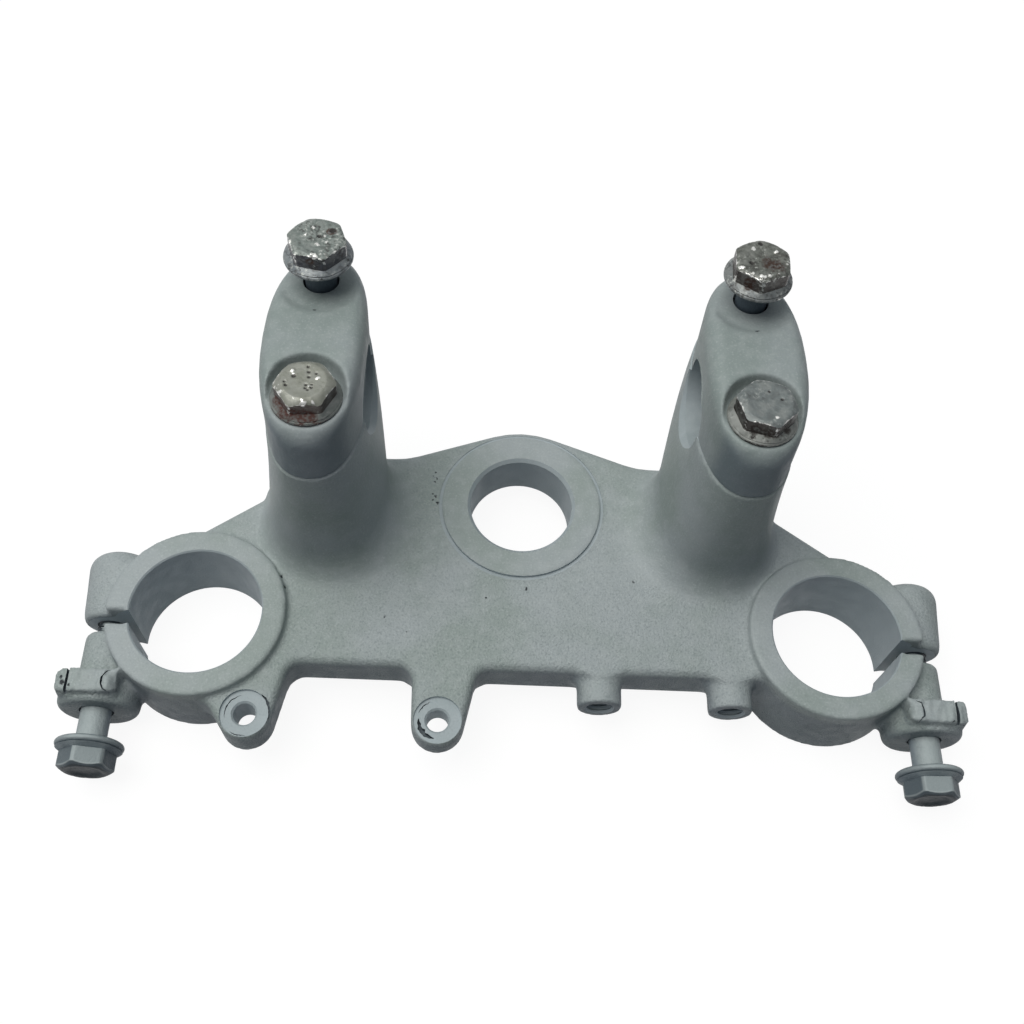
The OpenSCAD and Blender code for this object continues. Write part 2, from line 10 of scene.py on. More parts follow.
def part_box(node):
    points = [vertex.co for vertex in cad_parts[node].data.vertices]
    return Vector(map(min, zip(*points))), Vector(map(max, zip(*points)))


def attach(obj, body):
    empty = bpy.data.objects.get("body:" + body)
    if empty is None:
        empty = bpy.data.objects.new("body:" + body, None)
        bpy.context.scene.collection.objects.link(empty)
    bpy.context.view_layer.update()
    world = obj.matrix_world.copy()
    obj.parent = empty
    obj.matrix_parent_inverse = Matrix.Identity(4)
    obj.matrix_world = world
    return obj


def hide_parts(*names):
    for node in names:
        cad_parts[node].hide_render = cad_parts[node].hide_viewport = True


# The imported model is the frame: every size and place below is in the part's own frame, in metres
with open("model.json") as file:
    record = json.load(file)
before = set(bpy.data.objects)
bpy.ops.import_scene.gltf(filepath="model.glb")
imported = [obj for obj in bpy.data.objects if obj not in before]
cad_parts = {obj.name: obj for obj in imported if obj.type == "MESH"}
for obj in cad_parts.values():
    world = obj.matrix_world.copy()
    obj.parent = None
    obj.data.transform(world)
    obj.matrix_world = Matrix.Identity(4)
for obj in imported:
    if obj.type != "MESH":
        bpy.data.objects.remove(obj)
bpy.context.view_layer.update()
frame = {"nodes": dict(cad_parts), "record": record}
mounts = {m["name"]: m for m in frame["record"]["mounts"]}
scene = bpy.context.scene
MM = 0.001


def mount_at(name):
    return Vector(mounts[name]["pos_m"])


def mount_r(name):
    return mounts[name]["dims"]["r_mm"] * MM


# Places of the machined features, from the record's mounts
STEM_R = mount_r("stem_bore")
FORK = mount_at("fork_bore_right")
FORK_R = mount_r("fork_bore_right")
BAR = mount_at("handlebar_right")
BAR_R = mount_r("handlebar_right")
EYELETS = [mount_at("eyelet_outer"), mount_at("eyelet_inner")]
EYELET_R = mount_r("eyelet_outer")
LAMPS = [mount_at("lamp_thread_inner"), mount_at("lamp_thread_outer")]
LAMP_R = mount_r("lamp_thread_inner")
# How far below its mount each eyelet's plug runs
EYELET_DEPTHS = (4.7 * MM, 3.2 * MM)

# Sizes of the casting that the part's source holds too
PLATE_TOP = 13.5 * MM
STEM_TOP = 14.5 * MM
STEM_BOSS_R = 22.5 * MM
CLAMP_TOP = 16 * MM
CLAMP_FOOT = -8 * MM
CLAMP_MID = 4 * MM
FRONT_Y = FORK.y - 12.5 * MM
SLIT_Y = FORK.y - 2.6 * MM
SLIT_W = 3.7 * MM
PINCH_X = FORK.x + 24.3 * MM
EAR_FRONT = FORK.y - 25 * MM
EAR_BACK = FORK.y + 19.4 * MM
TAP_R = 4.05 * MM
HOLE_R = 4.5 * MM
PINCH_HOLE_END = EAR_BACK - 3 * MM
LAMP_FACE_Y = FRONT_Y - 7.7 * MM
LAMP_DEPTH = 16 * MM
SPOT_R = 6.3 * MM
SPOT_Z = PLATE_TOP - 0.8 * MM
BAR_LEAN = math.radians(5.6)
BOLT_PITCH = 35 * MM
RISER_HALF_W = 12.8 * MM
SPOT_FRONT = 15.7 * MM
SPOT_REAR = 19.4 * MM
REAR_OUT = 7.6 * MM
PINCH_OUT = 8.4 * MM
BAR_TAP_END = -21.3 * MM
TAB_X = PINCH_X + 1.2 * MM
TAB_HALF_W = 8 * MM
TAB_Y = EAR_FRONT + 1.8 * MM
TAB_D = 6.2 * MM
TAB_TOP = CLAMP_MID + 11.4 * MM
NUB_W = 3.8 * MM
CRACK_DEPTH = 2.4 * MM

# Sizes that only the look needs: the tabs' torn tops, edges and cracks
INNER_NUB_W = 3.6 * MM
TORN_LOW = 9.5 * MM
TAB_CLEAR = 26 * MM
OUTER_NUB_R = 2.4 * MM
INNER_NUB_R = 2.9 * MM
TORN_FALL = 0.25 * MM
OUTER_NUB_FALL = 0.45 * MM
INNER_NUB_RISE = 0.35 * MM
NUB_GROOVE_IN = 0.6 * MM
NUB_GROOVE_R = INNER_NUB_W - NUB_GROOVE_IN
NUB_GROOVE_W = 0.6 * MM
NUB_GROOVE_DEPTH = 1.1 * MM
SEAM = 0.9 * MM
CRACK_W = 0.8 * MM
STEM_EDGE = 0.9 * MM
FORK_EDGE = 0.4 * MM
BAR_EDGE = 0.6 * MM
EYELET_EDGE = 0.5 * MM
LAMP_PITCH = 1.25 * MM
LAMP_THREAD = 0.6 * MM
BOSS_STEP_IN = STEM_BOSS_R - 0.1 * MM
BOSS_STEP_OUT = STEM_BOSS_R + 0.9 * MM
BOSS_STEP_FOOT = PLATE_TOP - 0.06 * MM
# Cutters run this far past the casting, and plugs are this much larger than the holes they fill
OVER = 3 * MM
SLACK = 0.3 * MM
# Half sizes of the blocks that cut the risers and caps flat at the split plane
SPLIT_X = 20 * MM
SPLIT_Y = 36 * MM
# How far they run above the risers and below the caps
SPLIT_UP = 8 * MM
SPLIT_DOWN = 16 * MM
CAP_HOLE_END = 26 * MM
# The slit's cutter runs from here to this far beyond the pinch bolt
SLIT_IN = FORK.x + 8 * MM
SLIT_OUT = 14 * MM

MIRROR = Matrix.Diagonal((-1, 1, 1, 1))
IDENTITY = Matrix.Identity(4)
SIDES = {"right": IDENTITY, "left": MIRROR}
# Split plane of the right-hand bar clamp: X along the bar, Z up the bolts
CLAMP = Matrix.Translation(BAR) @ Matrix.Rotation(-BAR_LEAN, 4, "X")
ALONG_X = Matrix.Rotation(math.pi / 2, 4, "Y")
ALONG_Y = Matrix.Rotation(-math.pi / 2, 4, "X")


def bar_axis(side):
    return side @ Matrix.Translation(BAR) @ ALONG_X


def bolt_axis(side, s, height=0):
    """Frame of a bar bolt, at a height above the split plane: s is -1 for the front bolt, 1 for the rear."""
    return side @ CLAMP @ Matrix.Translation((0, s * BOLT_PITCH / 2, height))


def pinch_axis(side):
    return side @ Matrix.Translation((PINCH_X, 0, CLAMP_MID)) @ ALONG_Y


def upright(x, y):
    """Frame of a hole that runs straight up through the plate."""
    return Matrix.Translation((x, y, 0))


# Meshes

def new_piece(name, mesh):
    piece = bpy.data.objects.new(name, mesh)
    scene.collection.objects.link(piece)
    return piece


def settle(piece):
    """Turns a piece's modifiers into plain mesh."""
    deps = bpy.context.evaluated_depsgraph_get()
    old = piece.data
    mesh = bpy.data.meshes.new_from_object(piece.evaluated_get(deps))
    piece.modifiers.clear()
    piece.data = mesh
    bpy.data.meshes.remove(old)


def points(mesh):
    co = np.empty(len(mesh.vertices) * 3)
    mesh.vertices.foreach_get("co", co)
    return co.reshape(-1, 3)


def normals(mesh):
    n = np.empty(len(mesh.vertices) * 3)
    mesh.vertex_normals.foreach_get("vector", n)
    return n.reshape(-1, 3)


def put_points(mesh, co):
    mesh.vertices.foreach_set("co", co.ravel())
    mesh.update()


def smooth_step(value, low, high):
    s = min(1, max(0, (value - low) / (high - low)))
    return s * s * (3 - 2 * s)


def turned(bm, profile, place, sides=96, ring=False):
    """Adds a closed turned solid to bm. The profile is [(radius, height)] up the Z axis of place, and a
    ring's profile runs on from its last point to its first."""
    turn = [2 * math.pi * i / sides for i in range(sides)]
    rings = [[bm.verts.new(place @ Vector((r * math.cos(t), r * math.sin(t), z))) for t in turn]
             for r, z in profile]
    for low, high in zip(rings, rings[1:] + rings[:1] if ring else rings[1:]):
        for i in range(sides):
            j = (i + 1) % sides
            bm.faces.new((low[i], low[j], high[j], high[i]))
    if ring:
        return
    bm.faces.new(rings[0][::-1])
    bm.faces.new(rings[-1])


def block(bm, low, high, place=IDENTITY):
    """Adds a closed box between two corners, in the frame of place."""
    size = Vector(high) - Vector(low)
    middle = (Vector(high) + Vector(low)) / 2
    box = place @ Matrix.Translation(middle) @ Matrix.Diagonal((*size, 1))
    bmesh.ops.create_cube(bm, size=1, matrix=box)


def cut(piece, bm, finish=1):
    """Cuts the closed solids in bm out of a piece. The cut faces take its finish 1, a machined face, or 2,
    a crack."""
    bmesh.ops.recalc_face_normals(bm, faces=bm.faces)
    for face in bm.faces:
        face.material_index = finish
    mesh = bpy.data.meshes.new("cutter")
    bm.to_mesh(mesh)
    bm.free()
    cutter = new_piece("cutter", mesh)
    boolean = piece.modifiers.new("cut", "BOOLEAN")
    boolean.operation = "DIFFERENCE"
    boolean.solver = "MANIFOLD"
    boolean.material_mode = "INDEX"
    boolean.object = cutter
    settle(piece)
    bpy.data.objects.remove(cutter)


# Castings: a CAD solid grows soft cast edges and fillets, and its machined faces are cut sharp again

VOXEL_YOKE = 0.6 * MM
VOXEL_CAP = 0.5 * MM
STRETCH = 2 * MM
YOKE_TRIANGLES = 150000
# A corner's fillet starts at 0.6 times this hollowness, in voxels, and is full at 1.6 times
HOLLOW_BEND = 0.12
# Reach of a riser's top face at the split plane, and how near that plane a point counts as on it
TOP_FACE_X = 14 * MM
TOP_FACE_Y = 31 * MM
ON_PLANE = 0.02 * MM
# Edges sharper than this show as edges; degrees
MACHINED_EDGE = 24
CAST_EDGE = 75
BOLT_EDGE = 42


def neighbour_mean(values, edges, degree):
    a, b = edges.T
    n = len(values)
    total = [np.bincount(a, values[b, k], n) + np.bincount(b, values[a, k], n)
             for k in range(values.shape[1])]
    return np.stack(total, 1) / degree


def soften(mesh, voxel, hollow_zone, flank_zone):
    """Rounds every edge a little, fills hollow corners with a cast fillet and irons lofted flanks."""
    co = points(mesh)
    edges = np.empty(len(mesh.edges) * 2, np.int64)
    mesh.edges.foreach_get("vertices", edges)
    edges = edges.reshape(-1, 2)
    degree = np.bincount(edges.ravel(), minlength=len(co))[:, None]
    bend = ((neighbour_mean(co, edges, degree) - co) * normals(mesh)).sum(1) / voxel
    hollow = np.clip(bend / HOLLOW_BEND - 0.6, 0, 1) * hollow_zone(co)
    hollow = hollow[:, None]
    for _ in range(4):
        hollow = np.maximum(hollow, np.clip(neighbour_mean(hollow, edges, degree) * 1.5, 0, 1))
    flank = flank_zone(co)[:, None]
    # Rounds of smoothing and their strength, in the corners, on the flanks and all over
    for rounds, weight in ((26, hollow * 0.7), (14, flank * 0.8), (3, 0.6)):
        for _ in range(rounds):
            co += weight * (neighbour_mean(co, edges, degree) - co)
    put_points(mesh, co)


def casting(node, name, voxel, split_shift, plugs, hollow_zone, flank_zone):
    """Piece of soft cast form that stands for a CAD node. Its walls run on past the split plane by
    split_shift, and plugs fills its machined holes, so that both can be cut sharp afterwards."""
    source = frame["nodes"][node].data
    bm = bmesh.new()
    bm.from_mesh(source)
    bmesh.ops.remove_doubles(bm, verts=bm.verts, dist=0.001 * MM)
    for side in SIDES.values():
        place = side @ CLAMP
        back = place.inverted()
        for v in bm.verts:
            p = back @ v.co
            if abs(p.z) < ON_PLANE and abs(p.x) < TOP_FACE_X and abs(p.y) < TOP_FACE_Y:
                v.co = place @ (p + Vector((0, 0, split_shift)))
    plugs(bm)
    bmesh.ops.recalc_face_normals(bm, faces=bm.faces)
    mesh = bpy.data.meshes.new(name)
    bm.to_mesh(mesh)
    bm.free()
    piece = new_piece(name, mesh)
    remesh = piece.modifiers.new("cast", "REMESH")
    remesh.mode = "VOXEL"
    remesh.voxel_size = voxel
    settle(piece)
    soften(piece.data, voxel, hollow_zone, flank_zone)
    return piece


def hollow_below_plate(co):
    """Cast corners get their fillets below the plate's top; the turned rims above it stay crisp."""
    return (co[:, 2] < PLATE_TOP - 0.9 * MM).astype(float)


def riser_flanks(co):
    """The lofted risers between the plate and the bar's axis, clear of the fork clamps."""
    across = np.abs(np.abs(co[:, 0]) - BAR.x) < 23 * MM
    up = (co[:, 2] > PLATE_TOP + 0.3 * MM) & (co[:, 2] < BAR.z + 2 * MM)
    inner = np.hypot(np.abs(co[:, 0]) - FORK.x, co[:, 1] - FORK.y) > 24.5 * MM
    return (across & up & inner).astype(float)


def everywhere(co):
    return np.ones(len(co))


def plug(bm, radius, low, high, place, sides=96):
    """Adds a cylinder that fills a hole of the given radius."""
    turned(bm, [(radius + SLACK, low), (radius + SLACK, high)], place, sides)


def yoke_plugs(bm):
    plug(bm, STEM_R + 2 * SLACK, 0, STEM_TOP, IDENTITY)
    for side in SIDES.values():
        plug(bm, FORK_R, CLAMP_FOOT, CLAMP_TOP, side @ upright(FORK.x, FORK.y))
        plug(bm, BAR_R, -RISER_HALF_W, RISER_HALF_W, bar_axis(side))
        for s in (-1, 1):
            plug(bm, TAP_R, BAR_TAP_END - SLACK, STRETCH, bolt_axis(side, s), 32)
        plug(bm, HOLE_R, EAR_FRONT, PINCH_HOLE_END, pinch_axis(side), 32)
    for eye, depth in zip(EYELETS, EYELET_DEPTHS):
        plug(bm, EYELET_R, eye.z - depth, PLATE_TOP, upright(eye.x, eye.y), 48)
        plug(bm, SPOT_R, SPOT_Z - SLACK, PLATE_TOP, upright(eye.x, eye.y), 48)
    for lamp in LAMPS:
        place = Matrix.Translation((lamp.x, 0, lamp.z)) @ ALONG_Y
        plug(bm, LAMP_R, LAMP_FACE_Y, LAMP_FACE_Y + LAMP_DEPTH + SLACK, place, 48)


def broken_tab(piece):
    """Tears the top of each tab into the ridges of a brittle fracture, with a rounded nub at each end."""
    mesh = piece.data
    co = points(mesh)
    for i in np.nonzero(co[:, 2] > TORN_LOW)[0]:
        x, y, z = co[i]
        across = abs(x) - TAB_X
        along = y - TAB_Y
        if abs(across) > TAB_HALF_W + MM or along < -MM or along > TAB_D + MM:
            continue
        if math.hypot(abs(x) - FORK.x, y - FORK.y) < TAB_CLEAR:
            continue
        outer = across > TAB_HALF_W - NUB_W
        nub_r = OUTER_NUB_R if outer else INNER_NUB_R
        # Each nub falls away to its end, and its sides draw in
        past = min(nub_r, max(0, abs(across) - (TAB_HALF_W - nub_r)))
        shrink = 1 - math.sqrt(max(0, nub_r ** 2 - past ** 2)) / nub_r
        up = smooth_step(z, 10 * MM, 13.5 * MM)
        fall = TORN_FALL
        if outer:
            fall += OUTER_NUB_FALL
        if across < -TAB_HALF_W + INNER_NUB_W:
            fall -= INNER_NUB_RISE
        # Ridges run along the bolt, nearly 1 mm apart
        ridge = noise.noise(Vector((x * 1150, y * 200, 3)))
        grit = noise.fractal(Vector((x, y, z)) * 1500, 0.8, 2.0, 3)
        lift = smooth_step(z, 12.2 * MM, 13.2 * MM)
        co[i, 2] += lift * ((0.8 * ridge + 0.22 * grit) * MM - fall - 1.5 * MM * shrink)
        co[i, 1] += up * (-(along - TAB_D / 2) * 0.45 * shrink
                          + 0.25 * MM * noise.noise(Vector((x, y, z)) * 1100))
    put_points(mesh, co)


def chamfer_seams(piece):
    """Takes the front edge off each riser at its split plane, where the cap overhangs it a little."""
    mesh = piece.data
    co = points(mesh)
    out = normals(mesh)
    for side in SIDES.values():
        place = np.array(side @ CLAMP)
        back = np.array((side @ CLAMP).inverted())
        local = co @ back[:3, :3].T + back[:3, 3]
        way = out @ back[:3, :3].T
        depth = np.clip(local[:, 2] + SEAM, 0, SEAM)
        front = np.clip((-local[:, 1] - 9 * MM) / (6 * MM), 0, 1)
        # Only the riser's own points, up to its cast top
        near = (np.abs(local[:, 0]) < 14.5 * MM) & (local[:, 1] > -33 * MM)
        near &= local[:, 2] < STRETCH + MM
        local[:, :2] -= way[:, :2] * (depth * front * near)[:, None]
        co = local @ place[:3, :3].T + place[:3, 3]
    put_points(mesh, co)


def arc_groove(bm, centre, radius, start, end, width, z_low, z_high, seed):
    """Adds a crescent prism that wanders along an arc, thickest in its middle; degrees."""
    steps = 26
    low_in, low_out, high_in, high_out = [], [], [], []
    for k in range(steps + 1):
        s = k / steps
        t = math.radians(start + (end - start) * s)
        swell = 0.7 + 0.5 * noise.noise((9 * s, seed, 0))
        half = width / 2 * (0.15 + math.sin(math.pi * s) * swell)
        r = radius + 0.22 * MM * noise.noise((7 * s, seed, 5))
        for ring, rr, z in ((low_in, r - half, z_low), (low_out, r + half, z_low),
                            (high_in, r - half, z_high), (high_out, r + half, z_high)):
            ring.append(bm.verts.new((centre.x + rr * math.cos(t), centre.y + rr * math.sin(t), z)))
    for k in range(steps):
        bm.faces.new((high_in[k], high_in[k + 1], high_out[k + 1], high_out[k]))
        bm.faces.new((low_out[k], low_out[k + 1], low_in[k + 1], low_in[k]))
        bm.faces.new((low_in[k], low_in[k + 1], high_in[k + 1], high_in[k]))
        bm.faces.new((high_out[k], high_out[k + 1], low_out[k + 1], low_out[k]))
    bm.faces.new((low_in[0], high_in[0], high_out[0], low_out[0]))
    bm.faces.new((low_in[-1], low_out[-1], high_out[-1], high_in[-1]))


def bore_bar(bm, side):
    """Bores a handlebar's seat, with a small chamfer at each mouth."""
    lip = RISER_HALF_W - BAR_EDGE
    profile = [(BAR_R + OVER, -lip - OVER), (BAR_R, -lip), (BAR_R, lip), (BAR_R + OVER, lip + OVER)]
    turned(bm, profile, bar_axis(side))


def machine_yoke(piece):
    """Splits, bores and taps the casting, as the part's source does."""
    bm = bmesh.new()
    for side in SIDES.values():
        block(bm, (-SPLIT_X, -SPLIT_Y, 0), (SPLIT_X, SPLIT_Y, SPLIT_UP), side @ CLAMP)
        block(bm, (SLIT_IN, SLIT_Y - SLIT_W / 2, CLAMP_FOOT - OVER),
              (PINCH_X + SLIT_OUT, SLIT_Y + SLIT_W / 2, CLAMP_TOP + OVER), side)
    cut(piece, bm)
    bm = bmesh.new()
    mouth = (STEM_R + STEM_EDGE + OVER, STEM_TOP + OVER)
    turned(bm, [(STEM_R, -OVER), (STEM_R, STEM_TOP - STEM_EDGE), mouth], IDENTITY)
    for side in SIDES.values():
        mouth = FORK_R + FORK_EDGE + OVER
        profile = [(mouth, CLAMP_FOOT - OVER), (FORK_R, CLAMP_FOOT + FORK_EDGE),
                   (FORK_R, CLAMP_TOP - FORK_EDGE), (mouth, CLAMP_TOP + OVER)]
        turned(bm, profile, side @ upright(FORK.x, FORK.y), 128)
        bore_bar(bm, side)
        for s in (-1, 1):
            turned(bm, [(TAP_R, BAR_TAP_END), (TAP_R, OVER)], bolt_axis(side, s), 48)
        profile = [(HOLE_R, EAR_FRONT - OVER), (HOLE_R, SLIT_Y), (TAP_R, SLIT_Y), (TAP_R, PINCH_HOLE_END)]
        turned(bm, profile, pinch_axis(side), 64)
    for eye in EYELETS:
        profile = [(EYELET_R, CLAMP_FOOT), (EYELET_R, SPOT_Z - EYELET_EDGE),
                   (EYELET_R + EYELET_EDGE, SPOT_Z), (SPOT_R, SPOT_Z), (SPOT_R, PLATE_TOP + OVER)]
        turned(bm, profile, upright(eye.x, eye.y), 64)
    for lamp in LAMPS:
        profile = [(LAMP_R + LAMP_THREAD, -OVER), (LAMP_R + LAMP_THREAD, 0)]
        for k in range(int(LAMP_DEPTH / LAMP_PITCH) - 1):
            profile += [(LAMP_R, (k + 0.5) * LAMP_PITCH), (LAMP_R + LAMP_THREAD, (k + 1) * LAMP_PITCH)]
        # The tap drill's point
        profile += [(LAMP_R, LAMP_DEPTH), (0.2 * MM, LAMP_DEPTH + 1.8 * MM)]
        turned(bm, profile, Matrix.Translation((lamp.x, LAMP_FACE_Y, lamp.z)) @ ALONG_Y, 64)
    # The stem's boss was faced and turned, so that its rim is sharp
    profile = [(BOSS_STEP_IN, BOSS_STEP_FOOT), (BOSS_STEP_OUT, BOSS_STEP_FOOT),
               (BOSS_STEP_OUT, STEM_TOP + OVER), (BOSS_STEP_IN, STEM_TOP + OVER)]
    turned(bm, profile, IDENTITY, 160, True)
    cut(piece, bm)
    crack_yoke(piece)


# Scores round the eyelets: eyelet, radius, start and end in degrees, width, depth, top and seed
SCORES = [
    (1, 4.85 * MM, 176, 262, 1.5 * MM, 1.6 * MM, SPOT_Z, 2),
    (1, 5.3 * MM, 112, 160, 0.35 * MM, 0.4 * MM, SPOT_Z, 4),
    (0, 5.0 * MM, 105, 196, 0.35 * MM, 0.5 * MM, SPOT_Z, 6),
    (0, 5.8 * MM, 238, 280, 0.3 * MM, 0.5 * MM, SPOT_Z, 7),
    (0, 6.45 * MM, -14, 52, 0.8 * MM, 0.7 * MM, PLATE_TOP, 9),
]
# Arc of the groove round each inner nub, in degrees
NUB_ARCS = {"right": (-75, 70), "left": (110, 255)}


def crack_yoke(piece):
    """Cuts the scores round the eyelets and the cracks in the tabs."""
    bm = bmesh.new()
    for eye, radius, start, end, width, depth, top, seed in SCORES:
        arc_groove(bm, EYELETS[eye], radius, start, end, width, SPOT_Z - depth, top + OVER, seed)
    for side_name, side in SIDES.items():
        # The outer nub is cracked off right through, and the inner one only at its surface
        x = TAB_X + TAB_HALF_W - NUB_W
        block(bm, (x, TAB_Y - OVER, TAB_TOP - CRACK_DEPTH),
              (x + CRACK_W, TAB_Y + TAB_D + MM, CLAMP_TOP + OVER), side)
        nub = side @ Vector((TAB_X - TAB_HALF_W + NUB_GROOVE_IN, TAB_Y + 0.45 * TAB_D, 0))
        arc_groove(bm, nub, NUB_GROOVE_R, *NUB_ARCS[side_name], NUB_GROOVE_W,
                   TAB_TOP - NUB_GROOVE_DEPTH, CLAMP_TOP + OVER, 3)
    cut(piece, bm, 2)


def cap_plugs(side):
    def plugs(bm):
        plug(bm, BAR_R, -RISER_HALF_W + MM, RISER_HALF_W - MM, bar_axis(side))
        for s, top in ((-1, SPOT_FRONT), (1, SPOT_REAR)):
            plug(bm, HOLE_R, -STRETCH, top, bolt_axis(side, s), 48)
    return plugs


def recess_rim(side):
    """The front rim of the recess round the front bolt is rounder than the cap's other edges."""
    back = np.array((side @ CLAMP).inverted())

    def zone(co):
        local = co @ back[:3, :3].T + back[:3, 3]
        out = np.hypot(local[:, 0], local[:, 1] + BOLT_PITCH / 2)
        rim = (out > 8.9 * MM) & (out < 13.5 * MM) & (local[:, 2] > SPOT_FRONT + 0.4 * MM)
        front = np.clip((-local[:, 1] - BOLT_PITCH / 2 + 2 * MM) / (4 * MM), 0, 1)
        return np.where(rim, 0.1 + 0.9 * front, 0.25)
    return zone


def machine_cap(piece, side):
    bm = bmesh.new()
    block(bm, (-SPLIT_X, -SPLIT_Y, -SPLIT_DOWN), (SPLIT_X, SPLIT_Y, 0), side @ CLAMP)
    cut(piece, bm)
    bm = bmesh.new()
    bore_bar(bm, side)
    for s in (-1, 1):
        turned(bm, [(HOLE_R, -OVER), (HOLE_R, CAP_HOLE_END)], bolt_axis(side, s), 64)
    cut(piece, bm)


def dress(piece, *finishes):
    """Gives a casting its finishes, sharp machined edges and face-weighted shading."""
    mesh = piece.data
    index = np.empty(len(mesh.polygons), np.int32)
    mesh.polygons.foreach_get("material_index", index)
    mesh.materials.clear()
    for finish in finishes:
        mesh.materials.append(finish)
    mesh.polygons.foreach_set("material_index", np.minimum(index, len(finishes) - 1))
    mesh.shade_smooth()
    bm = bmesh.new()
    bm.from_mesh(mesh)
    for e in bm.edges:
        if len(e.link_faces) == 2:
            limit = MACHINED_EDGE if any(f.material_index for f in e.link_faces) else CAST_EDGE
            e.smooth = e.calc_face_angle(0) < math.radians(limit)
    bm.to_mesh(mesh)
    bm.free()
    weighted = piece.modifiers.new("shading", "WEIGHTED_NORMAL")
    weighted.keep_sharp = True
    settle(piece)


# Bolts: a flange bolt is turned as one skin, and its thread is swept along a helix

SIDES_OF_HEAD = 144
FLANGE_RISE = 1.1 * MM
EDGE_W = 0.35 * MM
BOLT_R = 3.95 * MM
THREAD_CORE_R = 3.3 * MM
THREAD_PITCH = 1.25 * MM
# The thread starts this far below the shank and ends as far above the tip
THREAD_LEAD = 1.2 * MM
# A hexagon's corners are worn back to this share of its apothem
WORN_CORNER = 1.115
# Depth of a pit, and height of the bump under a painted highlight, in its middle
PIT_DEPTH = 0.35 * MM
GLINT_RISE = 0.3 * MM


def hexagon(t, apothem, corner):
    """Radius of a hexagon with worn corners in the direction t, and how near that is to a corner."""
    off_flat = (t - corner) % (math.pi / 3) - math.pi / 6
    return min(apothem / math.cos(off_flat), apothem * WORN_CORNER), smooth_step(abs(off_flat), 0.38, 0.48)


def bolt_rows(af, flange_r, rim, head_h, dish, chamfer, length, plain, **_):
    """Rows [(radius, height, hexagon share, zone, wear)] of a bolt from its head's middle to its tip.
    Zones: 0 is the top, 0.1 its worn corners, 0.5 the hexagon, 1 the flange and 1.5 the shank. The height
    of a row of the hexagon is a share of the way down from the edge of the top to the flange."""
    a = af / 2
    top = rim + head_h
    # The top with its dish, then its turned corners and the hexagon
    rows = [(a * s, top - dish * (1 - smooth_step(s, 0.5, 0.78)), 0, 0, 0)
            for s in np.linspace(0.03, chamfer - 0.06, 22)]
    rows += [(a * (chamfer - 0.02), top - 0.02 * MM, 0, 0, 0.1)]
    rows += [(a - EDGE_W, 0, 1, 0.1, 0.35), (a, 0, 1, 0.1, 1)]
    rows += [(a, s, 1, 0.5, wear_and_highlight) for s, wear_and_highlight in ((0.05, 1), (0.13, 0.3))]
    rows += [(a, s, 1, 0.5, 0) for s in np.linspace(0.22, 1, 12)]
    # The flange's slope, its round rim and its seat
    foot = rim + FLANGE_RISE
    rows += [(a + (flange_r - a) * s, foot - (foot - rim * 0.9) * s ** 1.2, 1 - s, 1, 0)
             for s in (0.08, 0.2, 0.35, 0.5, 0.65, 0.8)]
    for k in range(9):
        t = math.pi * k / 8
        rows.append((flange_r - rim / 2 * (1 - math.sin(t)), rim / 2 * (1 + 0.92 * math.cos(t)), 0, 1,
                     0.7 * math.sin(t)))
    rows += [(flange_r * 0.7, 0, 0, 1, 0), (BOLT_R + 0.4 * MM, 0, 0, 1, 0), (BOLT_R, -0.4 * MM, 0, 1.5, 0)]
    # The shank and the thread's core
    rows += [(BOLT_R, -z, 0, 1.5, 0) for z in np.linspace(1.2 * MM, plain, 8)]
    rows += [(THREAD_CORE_R, -plain - 0.7 * MM, 0, 1.5, 0), (THREAD_CORE_R, -length + 0.9 * MM, 0, 1.5, 0),
             (THREAD_CORE_R - 0.8 * MM, -length, 0, 1.5, 0)]
    return rows


def spotted(p, spots):
    """How much of a point is in the nearest of the spots [(x, y, z, radius)], in mm of the bolt's frame."""
    return max((max(0, 1 - (p - Vector(s[:3]) * MM).length / (s[3] * MM)) for s in spots), default=0)


def thread_tree():
    """Geometry nodes that sweep a thread's ridge down a bolt's core."""
    tree = bpy.data.node_groups.new("bolt thread", "GeometryNodeTree")
    face = tree.interface
    face.new_socket("Geometry", in_out="INPUT", socket_type="NodeSocketGeometry")
    for name in ("Core Radius", "Pitch", "Thread Length", "Tip Height"):
        face.new_socket(name, in_out="INPUT", socket_type="NodeSocketFloat")
    face.new_socket("Material", in_out="INPUT", socket_type="NodeSocketMaterial")
    face.new_socket("Geometry", in_out="OUTPUT", socket_type="NodeSocketGeometry")
    given = add(tree, "NodeGroupInput").outputs
    turns = maths(tree, "DIVIDE", given["Thread Length"], given["Pitch"])
    helix = add(tree, "GeometryNodeCurveSpiral", {
        "Resolution": 28, "Rotations": turns, "Start Radius": given["Core Radius"],
        "End Radius": given["Core Radius"], "Height": given["Thread Length"]})
    drop = add(tree, "ShaderNodeCombineXYZ", {"Z": given["Tip Height"]})
    moved = add(tree, "GeometryNodeTransform", {
        "Geometry": helix.outputs[0], "Translation": drop.outputs[0]})
    ridge_r = maths(tree, "MULTIPLY", given["Pitch"], 0.5)
    ridge = add(tree, "GeometryNodeCurvePrimitiveCircle", {"Resolution": 4, "Radius": ridge_r})
    swept = add(tree, "GeometryNodeCurveToMesh", {
        "Curve": moved.outputs[0], "Profile Curve": ridge.outputs[0], "Fill Caps": True})
    both = add(tree, "GeometryNodeJoinGeometry")
    tree.links.new(swept.outputs[0], both.inputs[0])
    tree.links.new(given["Geometry"], both.inputs[0])
    real = add(tree, "GeometryNodeRealizeInstances", {0: both.outputs[0]})
    dressed = add(tree, "GeometryNodeSetMaterial", {
        "Geometry": real.outputs[0], "Material": given["Material"]})
    add(tree, "NodeGroupOutput", {0: dressed.outputs[0]})
    return tree


